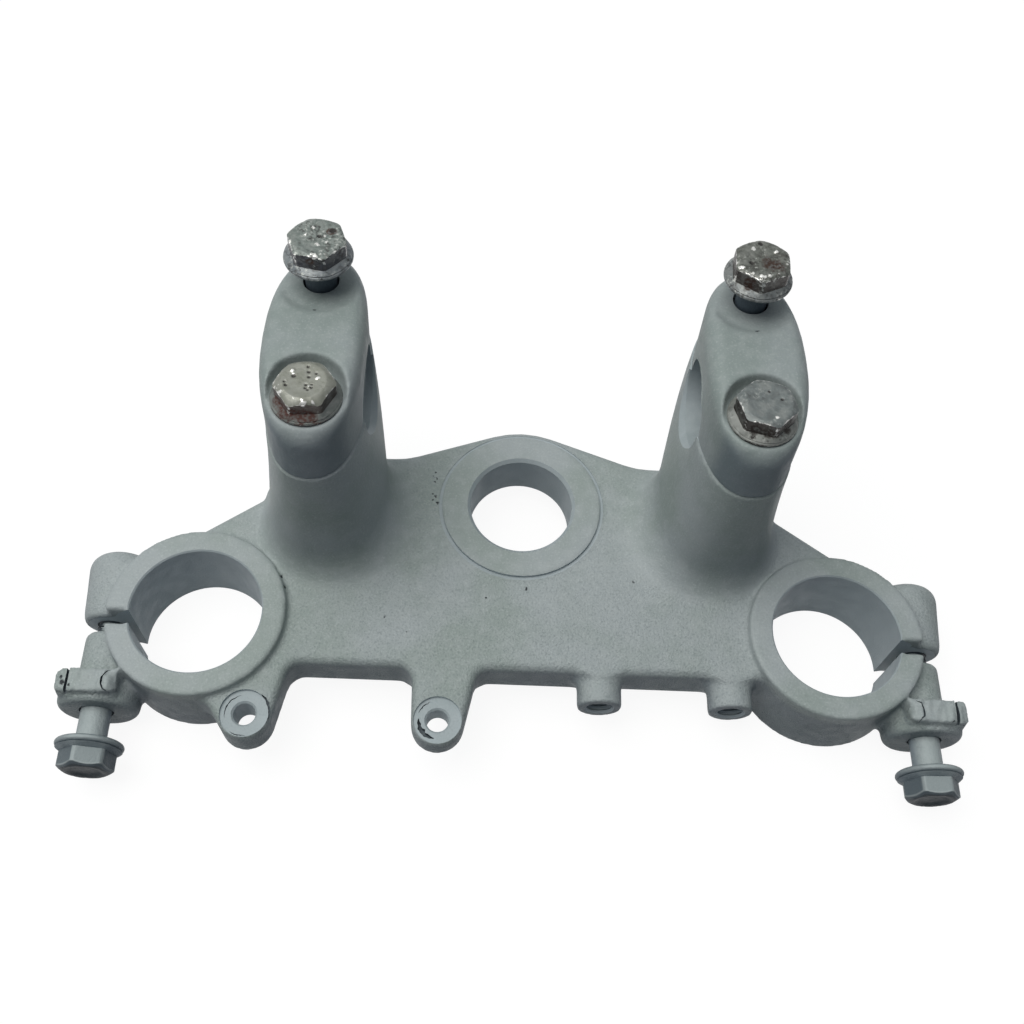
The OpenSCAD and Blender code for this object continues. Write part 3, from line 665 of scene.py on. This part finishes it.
def add(tree, kind, inputs=None, **settings):
    """Adds a node with its settings and inputs; an input is a value or the socket that feeds it."""
    node = tree.nodes.new(kind)
    for key, value in settings.items():
        setattr(node, key, value)
    for key, value in (inputs or {}).items():
        if isinstance(value, bpy.types.NodeSocket):
            tree.links.new(value, node.inputs[key])
        else:
            node.inputs[key].default_value = value
    return node


def maths(tree, operation, *values):
    """Output of a math node on two or three values or sockets."""
    return add(tree, "ShaderNodeMath", dict(enumerate(values)), operation=operation).outputs[0]


def flange_bolt(name, node, place, size, corner, material, look):
    """One bolt on the seat of its head: the Z axis of place runs up out of the head. The corner is the turn
    of one of its corners, and the look holds its dents, pits, painted highlights and rust."""
    rows = bolt_rows(**size)
    a = size["af"] / 2
    top = size["rim"] + size["head_h"]
    turn = [2 * math.pi * i / SIDES_OF_HEAD for i in range(SIDES_OF_HEAD)]
    seed = Vector(look["seed"])
    verts = []
    seen = {"zone": [], "wear_and_highlight": [], "pit": [], "painted_glint": [], "rust": []}
    for r, z, share, zone, wear_and_highlight in rows:
        for t in turn:
            hexed, at_corner = hexagon(t, a, corner)
            p = Vector((math.cos(t), math.sin(t), 0)) * (r + share * (hexed - a))
            p.z = z
            if zone in (0.1, 0.5):
                # The corners of the top are turned off in a cone
                past = max(0, hexed + min(0, r - a) - size["chamfer"] * a)
                edge = top - 0.04 * MM - past * math.tan(math.radians(size["slope"]))
                foot = size["rim"] + FLANGE_RISE
                p.z = edge + (foot - edge) * z
                shown = max(wear_and_highlight, 0.9 * at_corner) if zone == 0.5 else wear_and_highlight
            else:
                shown = wear_and_highlight
            pit = spotted(p, look["pits"]) if zone <= 1 else 0
            painted_glint = spotted(p, look["painted_glints"]) if zone <= 1 else 0
            seen["zone"].append(zone)
            seen["wear_and_highlight"].append(shown)
            seen["pit"].append(pit)
            seen["painted_glint"].append(painted_glint)
            seen["rust"].append(spotted(p, look["rust"]))
            if zone <= 1:
                # Dents about 1 mm wide with craters between them, deepest on the top
                rough = noise.fractal(p * 950 + seed, 0.7, 2.0, 3)
                crater = max(0, noise.noise(p * 1500 - seed) - 0.25)
                out = Vector((math.cos(t), math.sin(t), 0)) if zone == 0.5 else Vector((0, 0, 1))
                calm = 0.35 if zone > 0.05 else 1
                dent = calm * look["dents"] * (rough * 0.3 - crater)
                p += out * (dent - pit * PIT_DEPTH + painted_glint * GLINT_RISE)
            verts.append(p)
    n = SIDES_OF_HEAD
    faces = [(k * n + i, (k + 1) * n + i, (k + 1) * n + (i + 1) % n, k * n + (i + 1) % n)
             for k in range(len(rows) - 1) for i in range(n)]
    faces.append(tuple(range(n)))
    faces.append(tuple((len(rows) - 1) * n + i for i in range(n - 1, -1, -1)))
    mesh = bpy.data.meshes.new(name)
    mesh.from_pydata(verts, [], faces)
    for key, values in seen.items():
        mesh.attributes.new(key, "FLOAT", "POINT").data.foreach_set("value", values)
    piece = new_piece(name, mesh)
    thread = piece.modifiers.new("thread", "NODES")
    thread.node_group = THREAD
    wanted = {"Core Radius": THREAD_CORE_R, "Pitch": THREAD_PITCH,
              "Thread Length": size["length"] - size["plain"] - 2 * THREAD_LEAD,
              "Tip Height": -size["length"] + THREAD_LEAD, "Material": material}
    for item in THREAD.interface.items_tree:
        if item.in_out == "INPUT" and item.name in wanted:
            thread[item.identifier] = wanted[item.name]
    settle(piece)
    mesh = piece.data
    bm = bmesh.new()
    bm.from_mesh(mesh)
    bmesh.ops.recalc_face_normals(bm, faces=bm.faces)
    bm.transform(place)
    for e in bm.edges:
        e.smooth = not e.is_manifold or e.calc_face_angle(0) < math.radians(BOLT_EDGE)
    bm.to_mesh(mesh)
    bm.free()
    mesh.shade_smooth()
    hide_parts(node)
    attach(piece, "root")
    return piece


THREAD = thread_tree()


# Materials

def srgb(text):
    """Linear colour of an sRGB hex value."""
    parts = [int(text[i:i + 2], 16) / 255 for i in (1, 3, 5)]
    return (*[c / 12.92 if c <= 0.04045 else ((c + 0.055) / 1.055) ** 2.4 for c in parts], 1)


def new_material(name):
    material = bpy.data.materials.new(name)
    material.use_nodes = True
    material.node_tree.nodes.clear()
    return material, material.node_tree


def blend_colour(tree, factor, a, b):
    return add(tree, "ShaderNodeMix", {0: factor, 6: a, 7: b}, data_type="RGBA").outputs[2]


def ramp_between(tree, value, low, high, to_low=0.0, to_high=1.0):
    """Smooth ramp from to_low, where the value is low, to to_high. Noises run from about 0.25 to 0.75."""
    return add(tree, "ShaderNodeMapRange", {
        "Value": value, "From Min": low, "From Max": high, "To Min": to_low, "To Max": to_high},
        interpolation_type="SMOOTHSTEP").outputs[0]


def noise_of(tree, here, scale, detail):
    return add(tree, "ShaderNodeTexNoise", {"Vector": here, "Scale": scale, "Detail": detail}).outputs[0]


def attribute_of(tree, name):
    return add(tree, "ShaderNodeAttribute", attribute_name=name).outputs["Fac"]


# Small marks on the painted casting: place on the part in mm, and radius in mm
MARKS = [
    (-24.8, 9.8, 13.5, 0.3), (-25.4, 8.6, 13.5, 0.25), (-24.4, 7.8, 13.5, 0.35),
    (-24.9, 6.8, 13.5, 0.25), (-25.4, 2.7, 13.5, 0.25), (-24.5, 1.9, 13.5, 0.4),
    (-25.1, 0.9, 13.5, 0.3), (-23.8, -0.1, 13.5, 0.5), (1.8, -25.9, 13.5, 0.45),
    (31.4, -22.5, 13.5, 0.3), (39.5, -8.1, 13.5, 0.3), (-30.0, -40.0, 13.5, 0.3),
    (-9.1, -29.1, 13.5, 0.3), (51.8, -55.6, 7.0, 0.5), (39.4, 17.8, 13.5, 0.9), (14.2, -1.1, 14.5, 0.5),
    (-54.0, 16.2, 78.0, 0.5), (54.0, 16.3, 78.0, 0.6), (-36.4, -35.9, 13.5, 0.35),
    (-65.0, -25.5, 14.2, 0.5), (-63.9, -28.5, 14.2, 0.6), (-117.3, -58.0, 14.8, 0.7),
    (-117.9, -56.6, 14.7, 0.6), (-116.4, -55.0, 15.0, 0.4), (-115.4, -58.8, 15.0, 0.4),
    (114.9, -60.0, 15.0, 0.4), (103.4, -53.4, 14.9, 0.4),
]


def silver_paint(name, colours, wall, grain, corner_shade_level, marks=(), head=None):
    """Satin silver-grey enamel: a fine even grain, a faint orange peel and painted shade in the corners.
    Upright faces blend into the wall's colour, as painted shade on the casting, caps and bolts and as
    painted light on turned faces. A bolt's head blends into its own colours: painted shade, with painted
    light on the flat that faces up. A wall is a colour, the most of it, and an axis with the places on it
    where it's full and where there's none.
    The grains are drawn at 0.5 mm, about twice the real spray's, so that they show."""
    material, tree = new_material(name)
    here = add(tree, "ShaderNodeTexCoord").outputs["Object"]
    at = add(tree, "ShaderNodeSeparateXYZ", {0: here}).outputs
    # Cloudy patches some 20 mm wide, and mottling of 3 mm
    cloud = noise_of(tree, here, 42.0, 4.0)
    mottle = noise_of(tree, here, 330.0, 4.0)
    sand = noise_of(tree, here, 1800.0, 3.0)
    low, middle, high = (srgb(c) for c in colours)
    colour = blend_colour(tree, ramp_between(tree, cloud, 0.35, 0.65), low, middle)
    colour = blend_colour(tree, ramp_between(tree, mottle, 0.4, 0.75, 0.0, 0.35), colour, high)
    # The sand texture is strongest along the front of the plate and fades on the turned rims
    front = ramp_between(tree, at["Y"], 0, -50 * MM, 0.6, 1.0)
    rim = ramp_between(tree, at["Z"], PLATE_TOP + 0.3 * MM, PLATE_TOP + 0.9 * MM, 1.0, 0.4)
    rough = maths(tree, "MULTIPLY", front, rim)
    dark_grain = maths(tree, "MULTIPLY", ramp_between(tree, sand, 0.48, 0.28, 0.0, 0.4), rough)
    dark_grain = maths(tree, "MULTIPLY", dark_grain, grain)
    colour = blend_colour(tree, dark_grain, colour, srgb("#697477"))
    light_grain = maths(tree, "MULTIPLY", ramp_between(tree, sand, 0.54, 0.72, 0.0, 0.32), grain)
    colour = blend_colour(tree, light_grain, colour, srgb("#C2CACA"))
    # Painted shade and painted light on upright faces: they blend into the wall's colour, darker on the
    # casting, caps and bolts and lighter on turned faces
    shade, most, axis, full, none = wall
    facing = add(tree, "ShaderNodeTexCoord").outputs["Normal"]
    upward = add(tree, "ShaderNodeSeparateXYZ", {0: facing}).outputs["Z"]
    painted_upright_mask = ramp_between(tree, upward, 0.75, 0.1, 0.0, most)
    within = ramp_between(tree, at[axis], none, full)
    colour = blend_colour(tree, maths(tree, "MULTIPLY", painted_upright_mask, within), colour, srgb(shade))
    if head:
        # Painted shade on the flange, the hexagon and the dish of the top, then worn edges in the light
        # tone, and painted light on the flat that faces up
        zone = attribute_of(tree, "zone")
        worn = attribute_of(tree, "wear_and_highlight")
        sides, dish = (srgb(c) for c in head)
        colour = blend_colour(tree, ramp_between(tree, zone, 1.3, 1.1, 0.0, 0.45), colour, sides)
        colour = blend_colour(tree, ramp_between(tree, zone, 0.8, 0.4, 0.0, 0.8), colour, sides)
        colour = blend_colour(tree, ramp_between(tree, zone, 0.08, 0.02, 0.0, 0.85), colour, dish)
        colour = blend_colour(tree, ramp_between(tree, worn, 0.4, 1.0, 0.0, 0.4), colour, high)
        colour = blend_colour(tree, ramp_between(tree, upward, 0.8, 0.93, 0.0, 0.6), colour, middle)
    # Painted shade: the colour darkens where two faces meet, by ambient occlusion
    corner = add(tree, "ShaderNodeAmbientOcclusion", {"Distance": 2.2 * MM}, samples=8).outputs["AO"]
    corner_shade = ramp_between(tree, corner, 0.5, 0.15, 0.0, corner_shade_level)
    colour = blend_colour(tree, corner_shade, colour, srgb("#4C5660"))
    # Chips and pinholes through the paint
    hole = None
    for x, y, z, r in marks:
        mark = (x * MM, y * MM, z * MM)
        near = add(tree, "ShaderNodeVectorMath", {0: here, 1: mark}, operation="DISTANCE")
        ragged = maths(tree, "MULTIPLY_ADD", sand, 1.2 * MM, near.outputs["Value"])
        spot = ramp_between(tree, ragged, (r + 0.75) * MM, (r + 0.35) * MM)
        hole = spot if hole is None else maths(tree, "MAXIMUM", hole, spot)
    if hole is not None:
        colour = blend_colour(tree, hole, colour, srgb("#2B3034"))
    peel = noise_of(tree, here, 700.0, 2.0)
    bump = add(tree, "ShaderNodeBump", {"Height": peel, "Strength": 0.6, "Distance": 0.14 * MM})
    strength = maths(tree, "MULTIPLY", rough, grain)
    bump = add(tree, "ShaderNodeBump", {
        "Height": sand, "Strength": strength, "Distance": 0.3 * MM, "Normal": bump.outputs[0]})
    gloss = ramp_between(tree, mottle, 0.3, 0.7, 0.5, 0.62)
    shader = add(tree, "ShaderNodeBsdfPrincipled", {
        "Base Color": colour, "Roughness": gloss, "Metallic": 0.05, "Specular IOR Level": 0.32,
        "Normal": bump.outputs[0]})
    add(tree, "ShaderNodeOutputMaterial", {0: shader.outputs[0]})
    return material


def weathered_zinc(name, top, oxide_and_reflection_flats, flange, rust, crust):
    """Dull zinc plate on steel: crusted and pitted, worn to metal on its edges and drawn near white there as
    painted highlights, with rust where it gave out.
    The crust's grains are about 0.8 mm wide."""
    material, tree = new_material(name)
    here = add(tree, "ShaderNodeTexCoord").outputs["Object"]
    lot = {key: attribute_of(tree, key) for key in ("zone", "wear_and_highlight", "pit", "painted_glint", "rust")}
    grain = noise_of(tree, here, 1250.0, 3.0)
    blotch = noise_of(tree, here, 420.0, 4.0)
    patch = noise_of(tree, here, 260.0, 2.0)
    patchy = maths(tree, "MULTIPLY", ramp_between(tree, patch, 0.42, 0.6, 0.15, 1.25), crust)
    on_flats = ramp_between(tree, lot["zone"], 0.15, 0.4)
    on_flange = ramp_between(tree, lot["zone"], 0.6, 0.9)
    shank_painted_shadow = ramp_between(tree, lot["zone"], 1.1, 1.4)
    # The hexagon's sides are darker than the top, partly as oxide and partly as a painted dark reflection
    colour = blend_colour(tree, on_flats, srgb(top), srgb(oxide_and_reflection_flats))
    colour = blend_colour(tree, on_flange, colour, srgb(flange))
    colour = blend_colour(tree, ramp_between(tree, blotch, 0.42, 0.62, 0.0, 0.25), colour, srgb("#A9AAA6"))
    stain = ramp_between(tree, blotch, 0.47, 0.36, 0.0, 0.8 * crust)
    colour = blend_colour(tree, stain, colour, srgb("#484542"))
    for low, high, tone in ((0.55, 0.7, "#D3D6D0"), (0.46, 0.34, "#35322F")):
        salt = maths(tree, "MULTIPLY", ramp_between(tree, grain, low, high), patchy)
        colour = blend_colour(tree, salt, colour, srgb(tone))
    # Rust is ragged at two scales and lets some of the plate show through
    ragged = maths(tree, "MULTIPLY_ADD", blotch, 3.6, -1.8)
    speckle = maths(tree, "MULTIPLY_ADD", grain, 1.2, -0.6)
    ragged = maths(tree, "ADD", ragged, speckle)
    rusty = maths(tree, "MULTIPLY_ADD", lot["rust"], 1.5, ragged)
    near = ramp_between(tree, lot["rust"], 0.02, 0.25, 0.0, 0.9)
    rusty = maths(tree, "MULTIPLY", ramp_between(tree, rusty, 0.25, 0.8), near)
    tone = blend_colour(tree, ramp_between(tree, grain, 0.42, 0.66, 0.0, 0.5), srgb(rust), srgb(flange))
    colour = blend_colour(tree, rusty, colour, tone)
    colour = blend_colour(tree, ramp_between(tree, lot["pit"], 0.1, 0.5, 0.0, 0.9), colour, srgb("#2A2725"))
    # Painted shadow: the shank under the flange is drawn dark
    colour = blend_colour(tree, shank_painted_shadow, colour, srgb("#5A656F"))
    # Edges and dents worn down to metal and drawn near white as painted highlights, with more painted
    # highlights at the spots given for each bolt
    rubbed_and_highlit = maths(tree, "MULTIPLY_ADD", speckle, 1.2, lot["wear_and_highlight"])
    rubbed_and_highlit = maths(tree, "MULTIPLY_ADD", blotch, 1.6, rubbed_and_highlit)
    rubbed_and_highlit = ramp_between(tree, rubbed_and_highlit, 1.62, 2.05)
    painted_glint = ramp_between(tree, maths(tree, "MULTIPLY_ADD", speckle, 1.6, lot["painted_glint"]), 0.2, 0.6)
    painted_glint = maths(tree, "MULTIPLY", painted_glint, ramp_between(tree, lot["painted_glint"], 0.02, 0.2))
    bright = maths(tree, "MAXIMUM", rubbed_and_highlit, painted_glint)
    colour = blend_colour(tree, bright, colour, srgb("#FBFAF6"))
    # Only the worn metal shines: the hexagon's sides are oxidised, and their dark colour is partly oxide and
    # partly a painted dark reflection
    metal = ramp_between(tree, bright, 0.1, 0.9, 0.25, 0.4)
    gloss = ramp_between(tree, bright, 0.0, 1.0, 0.42, 0.2)
    gloss = maths(tree, "MULTIPLY_ADD", rusty, 0.3, gloss)
    bump = add(tree, "ShaderNodeBump", {
        "Height": grain, "Strength": 0.25 + 0.6 * crust, "Distance": 0.2 * MM})
    shader = add(tree, "ShaderNodeBsdfPrincipled", {
        "Base Color": colour, "Roughness": gloss, "Metallic": metal, "Normal": bump.outputs[0]})
    add(tree, "ShaderNodeOutputMaterial", {0: shader.outputs[0]})
    return material


# Three tones of each paint, then the walls' colours: painted shade on the casting's low walls, the caps'
# nose and the bolts' sides, and painted light on the walls of turned faces
PAINT = ("#949F9C", "#A3ABAD", "#B1B8B8")
TURNED_PAINT = ("#9EA9AC", "#A9B3B7", "#B5BDC0")
# The caps' tones are a little darker than the plate's, as painted shade
CAP_PAINT_SHADED = ("#8B9694", "#99A1A3", "#A7AEAE")
# Cracks and scores are painted dark, as painted shade
CRACK_PAINTED_SHADE = ("#4E575D", "#596267", "#666F73")
BOLT_PAINT = ("#A0AAAC", "#AAB4B5", "#B9C1C1")
LOW_WALL_PAINTED_SHADE = ("#55626E", 0.5, "Z", PLATE_TOP - 3 * MM, PLATE_TOP)
CAP_NOSE_PAINTED_SHADE = ("#55626E", 0.6, "Y", BAR.y - 24 * MM, BAR.y - 18 * MM)
BORE_WALL_PAINTED_LIGHT = ("#B2BEC4", 0.6, "Z", CLAMP_TOP, CLAMP_TOP + MM)
BOLT_SIDE_PAINTED_SHADE = ("#7C8C9A", 0.5, "Z", CLAMP_TOP, CLAMP_TOP + MM)
cast_paint = silver_paint("silver_enamel_on_sand_casting", PAINT, LOW_WALL_PAINTED_SHADE, 1.0, 0.4, MARKS)
cap_paint = silver_paint("silver_enamel_on_cap_casting", CAP_PAINT_SHADED, CAP_NOSE_PAINTED_SHADE, 0.7, 0.1, MARKS)
turned_paint = silver_paint("silver_enamel_on_turned_face", TURNED_PAINT, BORE_WALL_PAINTED_LIGHT, 0.35, 0.3, MARKS)
crack_painted_shade = silver_paint("enamel_darkened_in_a_crack_as_painted_shade", CRACK_PAINTED_SHADE, LOW_WALL_PAINTED_SHADE, 0.5, 0.4)
# The pinch bolts' head colours are painted shade: dark hexagon sides and a dark dish at the end
bolt_paint = silver_paint("silver_enamel_on_steel_bolt", BOLT_PAINT, BOLT_SIDE_PAINTED_SHADE, 0.5, 0.4,
                          head=("#46525A", "#262E34"))
zinc = {
    "rear_left": weathered_zinc("crusted_zinc_plate", "#7A837F", "#4C4D55", "#868D91", "#4A382F", 0.6),
    "front_left": weathered_zinc("creamy_zinc_plate", "#8C8E84", "#4A413C", "#767B78", "#4A2016", 0.15),
    "rear_right": weathered_zinc("browned_zinc_plate", "#666963", "#3A332F", "#7A7F80", "#3A2318", 0.55),
    "front_right": weathered_zinc("dented_zinc_plate", "#747B7B", "#241C18", "#8A8D89", "#241914", 0.25),
}

# Bolts: sizes of the two kinds, then each one's own turn in degrees and its marks. Pits, painted highlights
# and rust are spots (x, y, z, radius) in mm of the bolt's own frame, whose Z axis runs up out of the head
# and whose -Y axis faces the front of the clamp
BAR_BOLT = {"af": 13 * MM, "flange_r": 8.5 * MM, "rim": 1.2 * MM, "head_h": 5.4 * MM, "dish": 0.15 * MM,
            "chamfer": 0.93, "slope": 30, "length": 36 * MM, "plain": 9 * MM}
PINCH_BOLT = {"af": 13 * MM, "flange_r": 8.8 * MM, "rim": 1.9 * MM, "head_h": 6 * MM, "dish": 0.7 * MM,
              "chamfer": 0.88, "slope": 34, "length": 45 * MM, "plain": 22 * MM}


def rust_and_shadow_along_rim(start, end):
    """Spots of rust and of painted contact shadow along the lower edge of a bar bolt's flange, between two
    directions in degrees.
    """
    reach = BAR_BOLT["flange_r"] / MM
    return [(reach * math.cos(math.radians(t)), reach * math.sin(math.radians(t)), 0.1, 1.0)
            for t in range(start, end, 7)]


# One head's top was turned off further than the others'
HEAD_EDGES = {"front_left": {"chamfer": 0.84, "slope": 40}}
CORNERS = {"rear_left": -71, "front_left": -55, "rear_right": -94, "front_right": -75}
PINCH_CORNERS = {"right": 65, "left": 43}
LOOKS = {
    "rear_left": {
        "seed": (3, 0, 0), "dents": 0.34 * MM,
        "pits": [(3.6, 2.6, 6.6, 1.2), (0.6, 0.6, 6.6, 0.8)],
        "painted_glints": [(0.1, -6.3, 6.3, 1.2), (-1.2, 3.2, 6.6, 0.8), (-6.2, -1.9, 6.3, 0.9),
                   (1.9, 0.4, 6.6, 0.7), (0.4, -2.4, 6.6, 0.8), (2.6, -1.6, 6.6, 0.6),
                   (-2.6, 0.8, 6.6, 0.5), (-1.4, 1.9, 6.6, 0.5)],
        "rust": [(-0.6, -5.8, 4.4, 2.0), (3.4, 2.2, 6.6, 1.6)]},
    "front_left": {
        "seed": (0, 8, 0), "dents": 0.05 * MM,
        "pits": [(0.5, 4.2, 6.6, 0.5), (0.8, 2.7, 6.6, 0.6), (2.6, 2.3, 6.6, 0.5),
                 (-4.0, -1.5, 6.6, 0.6), (-4.4, -0.5, 6.6, 0.45), (-2.5, 1.4, 6.6, 0.8),
                 (1.0, 1.2, 6.6, 0.6), (0.6, -1.2, 6.6, 0.55), (1.9, -1.9, 6.6, 0.55),
                 (1.1, -2.6, 6.6, 0.5), (0.5, -2.1, 6.6, 0.5), (1.9, -1.0, 6.6, 0.45)],
        "painted_glints": [(-2.9, 2.9, 6.6, 0.8), (3.0, 1.0, 6.6, 0.8), (1.2, -1.7, 6.6, 0.5),
                   (-2.6, 1.9, 6.6, 0.5), (-6.0, -1.4, 6.0, 1.1), (-5.2, -3.4, 5.8, 0.8),
                   (-2.2, -5.6, 5.9, 1.1), (0.4, -6.1, 5.9, 1.2), (2.6, -5.8, 5.8, 0.7)],
        "rust": [(-5.6, -4.2, 3.0, 2.6), (-4.4, -5.8, 2.4, 3.2), (-2.8, -6.4, 2.4, 3.2),
                 (-0.8, -6.8, 2.2, 3.2), (1.4, -7.0, 1.9, 2.6), (-6.4, -3.2, 2.2, 2.0),
                 *rust_and_shadow_along_rim(-150, -40)]},
    "rear_right": {
        "seed": (0, 0, 5), "dents": 0.38 * MM,
        "pits": [(-0.2, 5.4, 6.6, 0.9), (-3.0, -1.2, 6.6, 0.9)],
        "painted_glints": [(-2.2, 3.6, 6.6, 0.8), (3.4, 2.8, 6.6, 0.9), (-0.8, -6.2, 6.3, 1.2),
                   (-3.2, -4.9, 6.3, 0.8), (-5.6, -3.0, 6.2, 1.0), (3.0, -4.8, 6.4, 0.6),
                   (5.4, -1.4, 6.4, 0.6), (0.8, -5.4, 6.4, 0.7)],
        "rust": [(1.6, -1.4, 6.6, 3.6), (3.8, -2.2, 6.6, 2.4), (-2.8, -5.6, 3.6, 2.4),
                 (4.6, -4.0, 4.0, 2.0)]},
    "front_right": {
        "seed": (7, 2, 0), "dents": 0.16 * MM,
        "pits": [(3.4, 1.0, 6.6, 0.6), (0.6, 3.2, 6.6, 0.5), (-3.4, -6.9, 1.6, 0.5),
                 (0.2, -7.6, 1.4, 0.6), (-0.9, -7.0, 1.7, 0.5), (3.0, -7.0, 1.5, 0.5)],
        "painted_glints": [(1.6, -4.7, 6.4, 0.7)],
        "rust": [(-3.2, -5.2, 3.6, 3.4), (0.6, -6.0, 3.6, 3.2), (4.2, -5.0, 3.8, 3.0),
                 *rust_and_shadow_along_rim(-160, -30)]},
}
PLAIN_LOOK = {"dents": 0.12 * MM, "pits": [], "painted_glints": [], "rust": []}


# Pieces

yoke = casting("yoke", "cast_yoke", VOXEL_YOKE, STRETCH, yoke_plugs, hollow_below_plate, riser_flanks)
broken_tab(yoke)
chamfer_seams(yoke)
thin = yoke.modifiers.new("thin", "DECIMATE")
thin.ratio = YOKE_TRIANGLES / (2 * len(yoke.data.polygons))
settle(yoke)
machine_yoke(yoke)
dress(yoke, cast_paint, turned_paint, crack_painted_shade)
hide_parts("yoke")
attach(yoke, "root")

for side_name, side in SIDES.items():
    cap = casting(f"bar_cap_{side_name}", f"cast_cap_{side_name}", VOXEL_CAP, -STRETCH,
                  cap_plugs(side), everywhere, recess_rim(side))
    machine_cap(cap, side)
    dress(cap, cap_paint, turned_paint)
    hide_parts(f"bar_cap_{side_name}")
    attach(cap, "root")
    for row, s, seat in (("front", -1, SPOT_FRONT), ("rear", 1, SPOT_REAR + REAR_OUT)):
        spot = f"{row}_{side_name}"
        bolt = flange_bolt(
            f"bar_bolt_{spot}_worn", f"bar_bolt_{spot}",
            bolt_axis(side, s, seat) @ side,
            {**BAR_BOLT, **HEAD_EDGES.get(spot, {})}, math.radians(CORNERS[spot]), zinc[spot], LOOKS[spot])
    pinch = flange_bolt(
        f"pinch_bolt_{side_name}_painted", f"pinch_bolt_{side_name}",
        side @ Matrix.Translation((PINCH_X, EAR_FRONT - PINCH_OUT, CLAMP_MID)) @ ALONG_Y.inverted() @ side,
        PINCH_BOLT, math.radians(PINCH_CORNERS[side_name]), bolt_paint,
        {"seed": (len(side_name), 4, 0), **PLAIN_LOOK})


# Floor, light and camera

def set_stage():
    low = min(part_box(n)[0].z for n in frame["nodes"])
    bm = bmesh.new()
    bmesh.ops.create_grid(bm, size=3, matrix=Matrix.Translation((0, 0, low)))
    mesh = bpy.data.meshes.new("floor")
    bm.to_mesh(mesh)
    bm.free()
    floor = new_piece("floor", mesh)
    material, tree = new_material("pale_paper_floor")
    matt = add(tree, "ShaderNodeBsdfDiffuse", {"Color": srgb("#64686E")})
    seen = add(tree, "ShaderNodeBsdfDiffuse", {"Color": srgb("#606060")})
    glow = add(tree, "ShaderNodeEmission", {"Color": (1, 1, 1, 1), "Strength": 0.92})
    pale = add(tree, "ShaderNodeAddShader", {0: seen.outputs[0], 1: glow.outputs[0]})
    path = add(tree, "ShaderNodeLightPath").outputs
    by_eye = maths(tree, "MAXIMUM", path["Is Camera Ray"], path["Is Glossy Ray"])
    by_eye = maths(tree, "MAXIMUM", by_eye, path["Is Transmission Ray"])
    mixed = add(tree, "ShaderNodeMixShader", {0: by_eye, 1: matt.outputs[0], 2: pale.outputs[0]})
    add(tree, "ShaderNodeOutputMaterial", {0: mixed.outputs[0]})
    mesh.materials.append(material)


# The way to the brightest part of the studio, above and a little behind the part
BRIGHT_WAY = (-0.24, 0.34, 0.91)


def set_world():
    """Soft studio: dim and bluish at the horizon, bright overhead, and white to the eye."""
    world = bpy.data.worlds.new("studio")
    scene.world = world
    world.use_nodes = True
    tree = world.node_tree
    tree.nodes.clear()
    way = add(tree, "ShaderNodeTexCoord").outputs["Generated"]
    up = add(tree, "ShaderNodeVectorMath", {0: way, 1: BRIGHT_WAY}, operation="DOT_PRODUCT")
    up = up.outputs["Value"]
    tint = blend_colour(tree, ramp_between(tree, up, 0.0, 0.8), srgb("#98ADD0"), srgb("#F1F5F6"))
    level = ramp_between(tree, up, 0.2, 0.97, 0.08, 0.74)
    soft = add(tree, "ShaderNodeBackground", {"Color": tint, "Strength": level})
    white = add(tree, "ShaderNodeBackground", {"Color": (1, 1, 1, 1), "Strength": 1.0})
    path = add(tree, "ShaderNodeLightPath").outputs
    mixed = add(tree, "ShaderNodeMixShader", {
        0: path["Is Camera Ray"], 1: soft.outputs[0], 2: white.outputs[0]})
    add(tree, "ShaderNodeOutputWorld", {0: mixed.outputs[0]})


def area_light(name, place, target, size, power, colour):
    data = bpy.data.lights.new(name, "AREA")
    data.shape = "DISK"
    data.size = size
    data.energy = power
    data.color = srgb(colour)[:3]
    lamp = bpy.data.objects.new(name, data)
    lamp.location = place
    lamp.rotation_euler = (Vector(target) - Vector(place)).to_track_quat("-Z", "Y").to_euler()
    scene.collection.objects.link(lamp)


def set_camera():
    """Camera of the photograph, from a fit of the part's bores and edges. Angles are in radians."""
    focal_px = 1166.2458
    frame_px = 1024
    place = Vector((-13.99, -161.45, 303.84)) * MM
    pitch = 1.0675678
    yaw = -0.0714870
    roll = 0.1049440
    level = math.cos(pitch)
    ahead = Vector((-math.sin(yaw) * level, math.cos(yaw) * level, -math.sin(pitch)))
    right = Vector((math.cos(yaw), math.sin(yaw), 0))
    up = right.cross(ahead)
    right, up = (math.cos(roll) * right + math.sin(roll) * up,
                 -math.sin(roll) * right + math.cos(roll) * up)
    data = bpy.data.cameras.new("camera")
    data.sensor_width = 36
    data.lens = focal_px / frame_px * data.sensor_width
    data.clip_start = 10 * MM
    camera = bpy.data.objects.new("camera", data)
    camera.matrix_world = Matrix.Translation(place) @ Matrix((right, up, -ahead)).transposed().to_4x4()
    scene.collection.objects.link(camera)
    scene.camera = camera


set_stage()
set_world()
area_light("key", place=(-0.34, 0.02, 1.0), target=(0, 0, 0.02), size=0.8, power=6.3, colour="#FFFDF8")
set_camera()
scene.view_settings.view_transform = "Standard"
